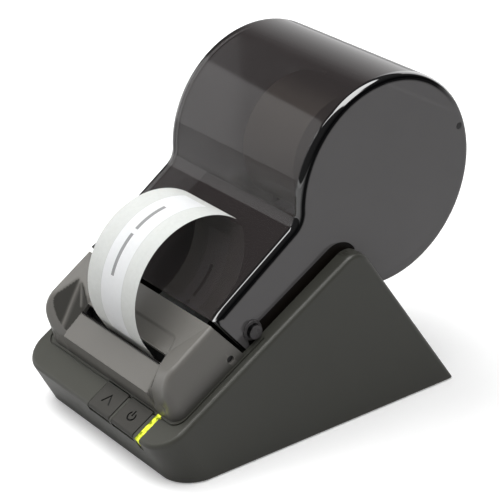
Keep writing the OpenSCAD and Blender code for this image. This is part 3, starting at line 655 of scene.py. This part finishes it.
def base_body():
    """The base's skin: a rounded edge carried along the outline, walls below, rows across the top.

    The edge is a quarter turn from the ledge to the wall at each station, and its radius grows
    round the front corner from FRONT_EDGE_ROUND to SIDE_EDGE_ROUND. The body is cut level at its
    foot and then shares its openings with the shell.
    """
    place, inward, down = base_outline()
    turns = np.linspace(0, np.pi / 2, 8)
    corner = CORNER_STEPS
    growth = np.clip(np.arange(len(place)) / corner, 0, 1)
    r = (FRONT_EDGE_ROUND + (SIDE_EDGE_ROUND - FRONT_EDGE_ROUND) * growth)[:, None]
    rows = [place + r * (1 - np.sin(t)) * inward + r * (1 - np.cos(t)) * down for t in turns]
    rows.append(rows[-1] + EDGE_TAIL * down)
    low = rows[-1].copy()
    count = len(low)
    up_front = ray(np.pi / 2 + FRONT_LEAN)
    fall = (low[: corner + 1, 2] - UNDER) / up_front[1]
    low[: corner + 1, 1:] -= fall[:, None] * up_front
    first = low[corner, 1]
    length = run_length(place[corner:])
    low[corner:, 1] = first + (rows[-1][-1, 1] - first) * length / length[-1]
    low[corner:, 2] = np.minimum(UNDER, rows[-1][-1, 2])
    rows.append(low)
    right = np.stack(rows)
    left = right * [-1, 1, 1]
    levels = len(rows)
    shift = levels * count
    faces = grid_faces(levels, count) + [f[::-1] for f in grid_faces(levels, count, shift)]
    step = np.arange(levels - 1) * count
    front = np.stack([step, step + count, step + count + shift, step + shift], -1)
    k = np.arange(count - 1)
    top = np.stack([k, k + shift, k + 1 + shift, k + 1], -1)
    foot = (levels - 1) * count + np.arange(count)
    rear = np.arange(levels) * count + count - 1
    faces += front.tolist() + top.tolist()
    faces += [line.tolist() + (line + shift)[::-1].tolist() for line in (foot, rear)]
    piece = new_piece("base_body", np.stack([right, left]) * MM, faces)
    with opened(piece.data) as work:
        cut = bmesh.ops.bisect_plane(work, geom=work.verts[:] + work.edges[:] + work.faces[:],
                                     plane_co=(0, 0, FOOT_LEVEL * MM), plane_no=(0, 0, -1),
                                     clear_outer=True)
        rim = [e for e in cut["geom_cut"] if isinstance(e, bmesh.types.BMEdge)]
        bmesh.ops.contextual_create(work, geom=rim)
    carve(piece, [copy_of("base_shell", "shell_openings")], "INTERSECT")
    carve(piece, [groove("ledge_groove", 49.1, 12.7, 66.0, 6.5, 0.9, 0.8)])
    shade(piece, 32, 12.0)
    return dress(piece, "base", BASE_PLASTIC, "base_shell")


base_body()

# ---- block round the slot ----

BLOCK_FRONT = 16.5
BLOCK_BACK = 51.2
BLOCK_HALF = 45.6
BLOCK_CORNER = 5.5
BLOCK_FOOT = (14.6, 55.2, 47.6)
APEX = np.array([37.85, 39.45, 18.35])
RIB_FOOT = np.array([33.3, 16.85, 9.5])
BAND_EDGE = np.array([41.1, 28.6, 19.6])
FACET_LOW = np.array([29.8, 28.6, 11.9])
STRUT_FOOT = np.array([31.6, 30.6])
# Share of painted shade on each ring of the block's walls, growing toward the foot.
FOOT_SHADE = (0.0, 0.0, 0.0, 0.1, 0.35, 0.65, 0.9)
LIP_START, LIP_HEIGHT, LIP_SLOPE = 16.8, 9.5, 0.322
PANEL_HEIGHT, PANEL_SLOPE = 14.6, 0.4056
SLOT_HEIGHT, SLOT_RISE = 13.3, 1.3
NOSE_START, NOSE_LENGTH, NOSE_FOOT, NOSE_HEIGHT = 15.8, 13.2, 4.6, 16.3
CREST_SLOPE = 0.045
RIM_ROUND = 2.6
BAND_HALF, BAND_SLOPE = 43.2, 0.44
RIB_HEIGHT, STRUT_HEIGHT = 0.9, 1.0
PLAIN_SLOPE = 1.3
RECESS_HALF, RECESS_BACK, RECESS_CORNER = 29.3, 41.0, 2.2
RECESS_DEPTH, RECESS_EDGE = 0.75, 0.35
BLUR = 0.8


def plane_through(a, b, c):
    """Height above the ledge as a plane over [x, s] through three points."""
    m = np.array([[*a[:2], 1.0], [*b[:2], 1.0], [*c[:2], 1.0]])
    k = np.linalg.solve(m, [a[2], b[2], c[2]])
    return lambda x, s: k[0] * x + k[1] * s + k[2]


def ridge(distance, width):
    """Bell curve that is 1 on a line and falls off with the distance from it."""
    return np.exp(-(distance / width) ** 2)


def block_height(x, s):
    """Height of the block's top: sloping lip and panel between two shoulders.

    Each shoulder is a crest that ends in a round nose. Inside it a wall of two flat facets, with
    a rib between them, comes down to the lip. The panel behind the slot has a shallow recess.
    The second result is the share of painted shade, on the wall facets inside the shoulders but not
    along their ribs.
    """
    ax = np.abs(x)
    lip = LIP_HEIGHT + (s - LIP_START) * LIP_SLOPE
    panel = PANEL_HEIGHT + (s - SLOT[1]) * PANEL_SLOPE
    over = SLOT_HEIGHT + (s - SLOT[0]) / (SLOT[1] - SLOT[0]) * SLOT_RISE
    floor = np.where(s < SLOT[0], lip, np.where(s > SLOT[1], panel, over))
    rise = np.clip((s - NOSE_START) / NOSE_LENGTH, 0, 1)
    nose = NOSE_FOOT + NOSE_HEIGHT * (1 - (1 - rise) ** 2.2) ** 0.625
    crest = nose + CREST_SLOPE * np.clip(s - NOSE_START - NOSE_LENGTH, 0, None)
    rim = rim_at(s)
    inset = np.clip(rim - ax, 0, None)
    r = RIM_ROUND
    drop = np.where(inset < r, r - np.sqrt(np.clip(r * r - (r - inset) ** 2, 0, None)), 0.0)
    band = crest - drop - BAND_SLOPE * np.clip(BAND_HALF - ax, 0, None)
    upper = plane_through(APEX, RIB_FOOT, BAND_EDGE)(ax, s)
    lower = np.maximum(plane_through(APEX, RIB_FOOT, FACET_LOW)(ax, s), 0.32 * (s - 18.8) + 8.6)
    wall = np.maximum(upper, lower) + RIB_HEIGHT * ridge(upper - lower, 0.42)
    strut = STRUT_FOOT - APEX[:2]
    reach = np.clip(((ax - APEX[0]) * strut[0] + (s - APEX[1]) * strut[1]) / (strut @ strut), 0, 1)
    apart = np.hypot(ax - APEX[0] - reach * strut[0], s - APEX[1] - reach * strut[1])
    wall = wall + STRUT_HEIGHT * ridge(apart, 0.38)
    edge = np.interp(s, [LIP_START, SLOT[0], SLOT[1], APEX[1]], [31.5, 29.4, 29.1, APEX[0]])
    plain = np.interp(s, [LIP_START, SLOT[0], 60], [32.4, 29.8, 29.4])
    wall = np.where(x > 0, floor + PLAIN_SLOPE * (ax - plain), wall)
    edge = np.where((x > 0) & (s > SLOT[0]), plain, edge)
    floor = np.where(s > SLOT[1], np.maximum(floor, band), floor)
    recess = np.minimum(RECESS_HALF - ax, RECESS_BACK - s)
    corner = RECESS_HALF - RECESS_CORNER - ax, RECESS_BACK - RECESS_CORNER - s
    outside = (corner[0] < 0) & (corner[1] < 0)
    recess = np.where(outside, RECESS_CORNER - np.hypot(*corner), recess)
    floor = floor - RECESS_DEPTH * np.clip(recess / RECESS_EDGE, 0, 1) * (s > SLOT[1] - 0.1)
    behind = s > np.where(x > 0, SLOT[1], APEX[1])
    side = np.where(behind, np.minimum(np.maximum(floor, band), crest - drop),
                    np.minimum(wall, band))
    height = np.where(ax < edge, floor, side)
    # Painted shade on the wall facets inside the shoulders, left off the rib and the strut.
    hollow = (ax > edge) & ~behind & (wall < band - 0.15) & (height > 3)
    lines = np.maximum(ridge(upper - lower, 0.5), ridge(apart, 0.45) * (x < 0))
    return height, hollow * (1 - lines)


def rim_at(s):
    """Half width of the block's top at a place along it, with a round front corner."""
    depth = np.clip(BLOCK_FRONT + BLOCK_CORNER - s, 0, BLOCK_CORNER)
    return BLOCK_HALF - BLOCK_CORNER + np.sqrt(np.clip(BLOCK_CORNER ** 2 - depth ** 2, 0, None))


def comb_outline():
    """Plan outline of the fine teeth along the slot's front edge, 1 mm apart and 0.8 mm deep."""
    x = np.arange(-28.5, 28.6, 0.5)
    tips = np.stack([x, np.where(np.arange(len(x)) % 2, SLOT[0] - 0.8, SLOT[0] + 0.1)], -1)
    return np.concatenate([tips, [[28.5, SLOT[0] + 0.3], [-28.5, SLOT[0] + 0.3]]])


def block_body():
    """The block's skin: a height over a plan grid that narrows to the rounded front corners.

    Rows run across, and each row's points are spread from rim to rim. The heights are blurred a
    little. Walls fall from the grid's border to a slightly larger foot.
    """
    bend = np.linspace(0, np.pi / 2, 34)[:-1]
    s = np.concatenate([BLOCK_FRONT + BLOCK_CORNER * (1 - np.cos(bend)),
                        np.linspace(BLOCK_FRONT + BLOCK_CORNER, BLOCK_BACK, 96)])
    rows, cols = len(s), 241
    across = np.linspace(-1, 1, cols)
    x = rim_at(s)[:, None] * across[None, :]
    s = np.broadcast_to(s[:, None], x.shape).copy()
    height, hollow = block_height(x, s)
    kernel = np.exp(-0.5 * (np.arange(-3, 4) / BLUR) ** 2)
    kernel /= kernel.sum()
    for axis in (0, 1):
        padded = np.pad(height, [(3, 3) if a == axis else (0, 0) for a in (0, 1)], mode="edge")
        height = np.apply_along_axis(lambda v: np.convolve(v, kernel, "valid"), axis, padded)
    border = np.concatenate([
        np.arange(cols), np.arange(1, rows) * cols + cols - 1,
        (rows - 1) * cols + np.arange(cols - 2, -1, -1), np.arange(rows - 2, 0, -1) * cols])
    bx, bs, bn = x.ravel()[border], s.ravel()[border], height.ravel()[border]
    fx = bx * BLOCK_FOOT[2] / BLOCK_HALF
    growth = (BLOCK_FOOT[1] - BLOCK_FOOT[0]) / (BLOCK_BACK - BLOCK_FRONT)
    fs = BLOCK_FOOT[0] + (bs - BLOCK_FRONT) * growth
    levels = len(FOOT_SHADE)
    walls = [on_slope(bx + (fx - bx) * t, bs + (fs - bs) * t, bn * (1 - t))
             for t in np.linspace(0, 1, levels + 1)[1:]]
    points = np.concatenate([on_slope(x, s, height).reshape(-1, 3), np.concatenate(walls)])
    faces = grid_faces(rows, cols)
    count = len(border)
    below = rows * cols + np.arange(levels * count).reshape(levels, count)
    rings = np.concatenate([border[None, :], below])
    a, b = rings[:-1], rings[1:]
    ring_faces = np.stack([a, b, np.roll(b, -1, 1), np.roll(a, -1, 1)], -1).reshape(-1, 4)
    # Painted shade: from the top's inner walls, and on the side walls more toward their foot.
    shaded = np.concatenate([hollow.ravel(), np.repeat(FOOT_SHADE, count)])
    piece = new_piece("slot_block", points, faces + ring_faces.tolist() + [rings[-1].tolist()],
                      values={"hollow": shaded})
    carve(piece, [
        prism("cut_low", box_outline(17.4, 52.2, -1, 6), -44.0, 44.0),
        prism("cut_mid", [[18.8, -1], [18.8, 7.6], [28.6, 10.8], [33.2, 12], [52.2, 12],
                          [52.2, -1]], -36.9, 36.9),
        prism("cut_duct", [[33.2, 11], [34.2, 12.4], [50.2, 19.1], [51.2, 11]], -32.1, 32.1),
        prism("cut_slot", box_outline(SLOT[0], SLOT[1], 5, 60), -SLOT_HALF, SLOT_HALF),
        tower("comb", comb_outline(), 9.0, 20.0),
        *both_sides(circle_outline(SCREW_AT, 1.7), 45.2),
        *both_sides(circle_outline(SCREW_AT, 1.1), 43.0)])
    shade(piece, 40)
    return dress(piece, "base", BLOCK_PLASTIC, "print_cover")


block_body()

# ---- smoked cover ----

EDGE_BARE, EDGE_FRONT, EDGE_SHEET, EDGE_MEETING = 1.0, 2.2, 3.6, 1.6
SQUARENESS = 2.6
DARK_BEFORE, DARK_FROM, DARK_RAMP = 62, 2, 22


def cover_outline():
    """Side outline of the cover with, for each station, its outward normal and its edge radius.

    It goes from the lower front corner up the front edge, along the front panel, round the hollow
    of the neck, round the drum and back along the skirt. Kind is 0 for a bare edge, 1 where the
    sheet spans the width and 2 where only a flange turns in.
    """
    rise = ray(COVER_RISE)
    up = ray(COVER_RISE + np.pi / 2)
    to_drum = DRUM - COVER_FRONT_TOP
    reach = (DRUM_RADIUS + NECK_RADIUS) ** 2 - (to_drum @ up - NECK_RADIUS) ** 2
    along = to_drum @ rise - math.sqrt(reach)
    neck = COVER_FRONT_TOP + along * rise + NECK_RADIUS * up
    away = neck - DRUM
    start = math.atan2(away[1], away[0])
    place, normal, kind, edge = [], [], [], []

    def add(p, n, what, radius=EDGE_SHEET):
        place.append(p)
        normal.append(n)
        kind.append(what)
        edge.append(radius)

    front = (COVER_FRONT_TOP - COVER_FRONT_LOW) / np.linalg.norm(COVER_FRONT_TOP - COVER_FRONT_LOW)
    front_out = np.array([-front[1], front[0]])

    def corner(a, b):
        m = a + b
        return m / (m @ a)

    low_out = np.array([0.0, -1.0])
    add(COVER_FRONT_LOW, corner(front_out, low_out), 0, EDGE_BARE)
    span = np.linalg.norm(COVER_FRONT_TOP - COVER_FRONT_LOW)
    for t in np.linspace(0.1, 0.84, 6):
        add(COVER_FRONT_LOW + front * span * t, front_out, 0, EDGE_BARE)
    add(COVER_FRONT_TOP, corner(front_out, up), 1, EDGE_FRONT)
    for t in np.linspace(4.0, along - 0.5, 14):
        add(COVER_FRONT_TOP + rise * t, up, 1)
    end = math.atan2(-away[1], -away[0])
    for a in np.linspace(COVER_RISE - np.pi / 2, end, 15):
        add(neck + NECK_RADIUS * ray(a), -ray(a), 1)
    sheet_end = math.radians(SHEET_END)
    for a in np.linspace(start, sheet_end, 108)[1:]:
        add(DRUM + DRUM_RADIUS * ray(a), ray(a), 1)
    skirt = -np.pi + math.asin((DRUM[1] - COVER_FRONT_LOW[1]) / DRUM_RADIUS)
    for a in np.linspace(sheet_end, skirt, 84)[1:-1]:
        add(DRUM + DRUM_RADIUS * ray(a), ray(a), 2)
    meeting = DRUM + DRUM_RADIUS * ray(skirt)
    add(meeting, corner(ray(skirt), low_out), 0, EDGE_MEETING)
    for t in np.linspace(0.06, 0.94, 8):
        add(meeting + t * (COVER_FRONT_LOW - meeting), low_out, 0, EDGE_BARE)
    return np.array(place), np.array(normal), np.array(kind), np.array(edge)


# Painted reflection: a dark band in each side plate along the ledge stands for the dark ledge that
# the plate mirrors.
DARK_REFLECTION = moulded("painted_reflection_band", srgb(17, 13, 10), rough=0.55, ior=1.25)
REFLECTION_DEPTH = 0.7
REFLECTION_RANGE = (58.5, 111.5)
REFLECTION_FOOT, REFLECTION_TOP = -6.0, 5.0
REFLECTION_CORNER, REFLECTION_LEAN = 2.0, 2.4


def reflection_band_outline():
    """Side outline of a dark band of painted reflection let into a side plate where it runs along
    the ledge.

    It rises from the ledge with a small round corner, runs level, and ends in a quarter circle
    that is as large as the strip is high and follows the top of the flank.
    """
    first, last = REFLECTION_RANGE
    down = np.radians(np.linspace(90, 0, 13))
    up = np.radians(np.linspace(180, 90, 7))
    rear = np.array([last, REFLECTION_FOOT]) + (REFLECTION_TOP - REFLECTION_FOOT) * ray(down)
    centre = np.array([first + REFLECTION_LEAN + REFLECTION_CORNER, REFLECTION_TOP - REFLECTION_CORNER])
    front = centre + REFLECTION_CORNER * ray(up)
    return np.concatenate([[[first, REFLECTION_FOOT]], front, rear])[::-1]


def smoked_cover():
    """The cover as an outer and an inner skin over the same grid of stations.

    Across the width a station's section runs from one side plate round a quarter turn to the
    sheet and down the other side. Cells that the cover lacks are left out, and every border
    between a kept cell and an empty one gets a wall from skin to skin. The edges are dark in
    front and over the drum, and the dark fades at the rear.
    """
    place, normal, kind, edge = cover_outline()
    count = len(place)
    turns = np.linspace(0, np.pi / 2, 11)
    power = 2 / SQUARENESS

    def skin(depth):
        """Points of the cover at a depth under its outside, from one side plate to the other."""
        outer = np.maximum(edge, depth)
        radius = np.maximum(outer - depth, 0.02)
        x = [COVER_HALF - GAP - outer + radius * abs(np.cos(t)) ** power for t in turns]
        inset = [GAP + outer - radius * np.sin(t) ** power for t in turns]
        x = np.array([*x, np.full(count, FLANGE_EDGE)])
        inset = np.array([*inset, np.full(count, depth + GAP)])
        inset = np.concatenate([inset, inset[::-1]])
        flat = place[None] - inset[..., None] * normal[None]
        return on_slope(np.concatenate([x, -x[::-1]]), flat[..., 0], flat[..., 1])

    off = place - DRUM
    turn = np.degrees(np.arctan2(off[:, 1], off[:, 0]))
    dark = np.where(place[:, 0] < DARK_BEFORE, 1.0, np.clip((turn - DARK_FROM) / DARK_RAMP, 0, 1))

    def marks(column):
        """A value for each point, from those round an edge; it fades where dark does."""
        both = np.concatenate([column, [0.0, 0.0], column[::-1]])
        return np.tile((both[:, None] * dark).ravel(), 2)

    bend = np.where(np.abs(np.sin(2 * turns)) > 0.01, 1.0, 0.0)
    upper = np.clip((np.degrees(turns) - 30) / 15, 0, 1) * (turns < 1.5)
    cols = len(turns) + 1
    rows = 2 * cols
    sheet = (kind == 1) & (np.roll(kind, -1) == 1)
    flange = (kind >= 1) & (np.roll(kind, -1) >= 1)
    keep = np.ones((rows - 1, count), bool)
    keep[[cols - 2, cols]] = flange
    keep[cols - 1] = sheet
    node = np.arange(rows * count).reshape(rows, count)
    ahead = np.roll(node, -1, 1)
    total = rows * count
    outer = np.stack([node[:-1], ahead[:-1], ahead[1:], node[1:]], -1)[keep]
    inner = outer[:, ::-1] + total
    faces = outer.tolist() + inner.tolist()
    before = np.roll(keep, 1, 1)
    for mask, a, b in ((keep & ~before, node[:-1], node[1:]),
                       (before & ~keep, node[1:], node[:-1])):
        a, b = a[mask], b[mask]
        faces += np.stack([a, b, b + total, a + total], -1).tolist()
    for row in range(1, rows - 1):
        above, below = keep[row - 1], keep[row]
        for mask, way in ((below & ~above, 1), (above & ~below, -1)):
            a, b = node[row][mask], ahead[row][mask]
            faces += np.stack([b, a, a + total, b + total], -1)[:, ::way].tolist()
    for outline in (node[0][::-1], node[-1], node[0] + total, node[-1][::-1] + total):
        faces.append(outline.tolist())
    values = {"rim": marks(bend), "within": np.repeat([0.0, 1.0], total), "gleam": marks(upper)}
    piece = new_piece("smoked_cover", [skin(0.0), skin(COVER_WALL)], faces, values, merge=False)
    carve(piece, both_sides(circle_outline(HINGE_PIN, HINGE_BORE), 42.0))
    # Painted reflection: the dark band is let into both side plates along the ledge.
    let_in(piece, both_sides(reflection_band_outline(), COVER_HALF - REFLECTION_DEPTH), SMOKED, DARK_REFLECTION)
    shade(piece, 40)
    return with_inlay(piece, "cover", "roll_cover", SMOKED, DARK_REFLECTION)


smoked_cover()

# ---- label strip ----

CURL = np.array([64.35, 15.0])
CURL_RADIUS = 33.4
CURL_END = 24.7
PLATEN = np.array([36.4, 4.6])
WRAP = 5.45
WEB_LEVEL = -1.0
WEB_THICKNESS = 0.16
WEB_GUIDE = np.array([106.1, -0.95])
ROLL_CENTRE = np.array([152.0, 8.8])
ROLL_RADIUS = 29.0
ROLL_GAP = 0.45


def strip_path():
    """The web's middle line: the free curl, the run down to the platen and back under the roll."""
    curl = CURL + CURL_RADIUS * ray(np.radians(np.linspace(CURL_END, 180, 120)))
    wrap = PLATEN + WRAP * ray(np.radians(np.linspace(180, 270, 14)))
    reach = ROLL_CENTRE - WEB_GUIDE
    hug = ROLL_RADIUS + ROLL_GAP
    leave = math.atan2(reach[1], reach[0]) - math.asin(hug / np.linalg.norm(reach))
    length = math.sqrt(reach @ reach - hug * hug)
    flat = np.stack([np.linspace(48, 105, 20), np.full(20, WEB_LEVEL)], -1)
    rest = WEB_GUIDE + np.linspace(0.7, length, 16)[:, None] * ray(leave)
    return np.concatenate([curl, wrap, flat, rest])


def label_strip():
    """A thin closed band along the web's line, with its distances kept for the print pattern."""
    path = strip_path()
    tangent = np.gradient(path, axis=0)
    tangent /= np.linalg.norm(tangent, axis=1)[:, None]
    normal = np.stack([-tangent[:, 1], tangent[:, 0]], -1)
    length = run_length(path)
    across = np.linspace(-WEB_HALF, WEB_HALF, 29)
    count, cols = len(path), len(across)
    lines = [path + offset * normal for offset in (WEB_THICKNESS / 2, -WEB_THICKNESS / 2)]
    points = [on_slope(across, line[:, :1], line[:, 1:]) for line in lines]
    node = np.arange(count * cols).reshape(count, cols)
    total = count * cols
    upper = np.array(grid_faces(count, cols))
    faces = upper.tolist() + (upper[:, ::-1] + total).tolist()
    border = np.concatenate([node[0], node[1:, -1], node[-1, -2::-1], node[-2:0:-1, 0]])
    after = np.roll(border, -1)
    faces += np.stack([border, border + total, after + total, after], -1).tolist()
    values = {"along": np.tile(np.repeat(length, cols), 2), "across": np.tile(across, 2 * count)}
    piece = new_piece("label_web", points, faces, values, merge=False)
    shade(piece, 50)
    dress(piece, "base", PAPER, "label_strip")


label_strip()

# ---- keys ----

ENGRAVED = -0.45


def key_marks():
    """Tools for the feed key's chevron and the power key's broken ring and bar."""
    middle = np.array([7.5, 7.2])
    chevron = np.array([[-3.0, -2.3], [-2.1, -2.3], [0, 1.3], [2.1, -2.3], [3.0, -2.3], [0, 2.8]])
    turn = np.radians(np.linspace(128, 412, 30))
    ring = np.concatenate([2.4 * ray(turn), 1.65 * ray(turn[::-1])]) + [24.7, 7.0]
    bar = box_outline(24.32, 25.08, 7.1, 9.9)
    return ([tower("chevron", middle + chevron, ENGRAVED, 1.0)],
            [tower("ring", ring, ENGRAVED, 1.0), tower("bar", bar, ENGRAVED, 1.0)])


FEED_MARK, POWER_MARK = key_marks()
eased("feed_button", "feed_key", 0.4, KEY_PLASTIC, FEED_MARK, MARK_PLASTIC)
eased("power_button", "power_key", 0.4, KEY_PLASTIC, POWER_MARK, MARK_PLASTIC)

# ---- carried-over pieces ----

for names, body, width, material in (
        ("status_light", "base", 0.25, GLOW), ("latch_studs", "cover", 0.2, stud_material()),
        ("rubber_feet", "base", 0.4, RUBBER), ("left_arm right_arm", "base", 0.4, DARK_PLASTIC),
        ("left_flange right_flange spool_core", "spool", 0.4, DARK_PLASTIC),
        ("inner_housing", "base", 0.5, INNER_PLASTIC), ("usb_socket", "base", 0.15, STEEL),
        ("dc_inlet", "base", 0.25, DARK_PLASTIC),
        ("print_cover_screws", "base", 0.2, DARK_PLASTIC)):
    for node in names.split():
        eased(node, body, width, material)

for names, material in (
        ("bottom_cover deck roll_trough", INNER_PLASTIC),
        ("bottom_screws deck_screws mech_frame head_heatsink head_springs", STEEL),
        ("platen_shaft stepper_motor", STEEL), ("platen_bushes motor_pinion", BRASS),
        ("print_head platen_gear idler_gear status_led", PALE_PLASTIC),
        ("hinge_pins button_switches board_parts label_sensor", DARK_PLASTIC),
        ("button_board main_board io_board", BOARD),
        ("tear_bar", BLADE), ("platen_rubber", RUBBER), ("label_roll", ROLL)):
    for node in names.split():
        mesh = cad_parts[node].data
        mesh.materials.clear()
        mesh.materials.append(material)

# ---- stage, light and camera ----

LAMP_DISTANCE = 1.6


def grey(level):
    """Linear grey of a level."""
    return (level, level, level, 1.0)


def floor_material():
    """Pale paper that shows white where the light reaches it and keeps the shadows.

    It is darker to mirrors and darkest to the light that it throws back. It glows with distance.
    """
    s = Shader("pale_paper")
    rays = s.add("ShaderNodeLightPath").outputs
    seen = s.maths("MAXIMUM", rays["Is Camera Ray"], rays["Is Transmission Ray"])
    pale = s.mix(rays["Is Glossy Ray"], grey(0.38), grey(0.62))
    glow = s.span(s.length(s.place), 0.22, 1.2, 0.3, 1.1)
    s.set(Base_Color=s.mix(seen, pale, grey(0.95)), Roughness=0.9, Specular_IOR_Level=0.1,
          Emission_Color=grey(1.0), Emission_Strength=s.times(seen, glow))
    return s.material


def studio_world():
    """Even air for plain light; mirrors see panels at the left, behind left and overhead.

    The panels are functions of the direction's bearing, from the front toward the right, and of
    its height. Below the horizon mirrors see a bright ground, and the camera sees plain white.
    """
    world = bpy.data.worlds.new("studio_air")
    bpy.context.scene.world = world
    world.use_nodes = True
    tree = world.node_tree
    back = tree.nodes["Background"]
    maths, times = partial(number_node, tree), partial(number_node, tree, "MULTIPLY")
    deg = math.radians(1)

    def step(value, start, end, low=0.0, high=1.0):
        """A smooth step between two values."""
        return range_node(tree, value, start, end, low, high, "SMOOTHSTEP")

    def sweep(value, start, end, low=0.0, high=1.0):
        """A smooth step between two angles in degrees."""
        return step(value, start * deg, end * deg, low, high)

    split = tree.nodes.new("ShaderNodeSeparateXYZ")
    way = tree.nodes.new("ShaderNodeTexCoord").outputs["Generated"]
    tree.links.new(way, split.inputs["Vector"])
    x, y, z = (split.outputs[k] for k in "XYZ")
    bearing = maths("ARCTAN2", x, times(y, -1.0))
    from_back = maths("ARCTAN2", times(x, -1.0), y)
    height = maths("ARCSINE", z)
    left = times(sweep(bearing, -80.5, -79.0), sweep(bearing, -48.0, -34.0, 1.0, 0.0))
    behind = times(sweep(from_back, 22.0, 69.0, 1.0, 0.0), sweep(from_back, -12.0, 8.0))
    across = times(sweep(bearing, -45.0, -35.0), sweep(bearing, 105.0, 120.0, 1.0, 0.0))
    overhead = times(sweep(height, 45.0, 48.0),
                     maths("MAXIMUM", across, sweep(height, 60.0, 64.0)))
    slant = maths("SUBTRACT", x, times(y, 2.2))
    overhead = times(overhead, step(slant, 0.72, 0.88, 1.0, 0.0))
    upright = maths("MAXIMUM", times(left, 1.4), times(behind, 1.8))
    panels = maths("MAXIMUM", times(sweep(height, 37.0, 39.0, 1.0, 0.0), upright),
                   sweep(height, -2.0, 0.0, 1.0, 0.0))
    mirror = maths("ADD", maths("MAXIMUM", panels, times(overhead, 5.5)), 0.09)
    rays = tree.nodes.new("ShaderNodeLightPath").outputs
    plain = times(maths("SUBTRACT", 1.0, rays["Is Glossy Ray"]), 0.27)
    light = maths("ADD", times(rays["Is Glossy Ray"], mirror), plain)
    fill(tree, [back.inputs["Strength"], back.inputs["Color"]],
         (maths("MAXIMUM", light, rays["Is Camera Ray"]), grey(1.0)))


def studio():
    """A wide pale floor and three soft boxes."""
    mesh = bpy.data.meshes.new("studio_floor")
    half = 1.2
    corners = [(*corner, 0) for corner in box_outline(-half, half, -half, half)]
    mesh.from_pydata(corners, [], [(0, 1, 2, 3)])
    mesh.materials.append(floor_material())
    floor = placed("studio_floor", mesh)

    def softbox(name, bearing, height, size, power):
        """A square lamp in a direction given like the world's, turned to the printer."""
        lamp = bpy.data.lights.new(name, "AREA")
        lamp.shape = "SQUARE"
        lamp.size = size
        lamp.energy = power
        holder = placed(name, lamp)
        a, e = math.radians(bearing), math.radians(height)
        way = Vector((math.sin(a) * math.cos(e), -math.cos(a) * math.cos(e), math.sin(e)))
        holder.location = way * LAMP_DISTANCE
        holder.rotation_mode = "QUATERNION"
        holder.rotation_quaternion = way.to_track_quat("Z", "Y")
        holder.visible_glossy = False

    softbox("key", -58, 64, 1.1, 19.0)
    softbox("top", 75, 66, 1.3, 14.5)
    softbox("fill", -20, 22, 1.2, 4.0)


def camera():
    """A long lens looking down on the printer from its front right."""
    azimuth, elevation = math.radians(51.99), math.radians(25.95)
    lens = bpy.data.cameras.new("camera")
    lens.lens = 137.765
    lens.sensor_width = 36.0
    lens.clip_start, lens.clip_end = 0.01, 50.0
    holder = placed("camera", lens)
    holder.location = (0.59012, -0.46062, 0.43136)
    holder.rotation_euler = (math.pi / 2 - elevation, 0.0, azimuth)
    bpy.context.scene.camera = holder


studio()
studio_world()
camera()
view = bpy.context.scene.view_settings
view.view_transform = "Standard"

bpy.context.view_layer.update()
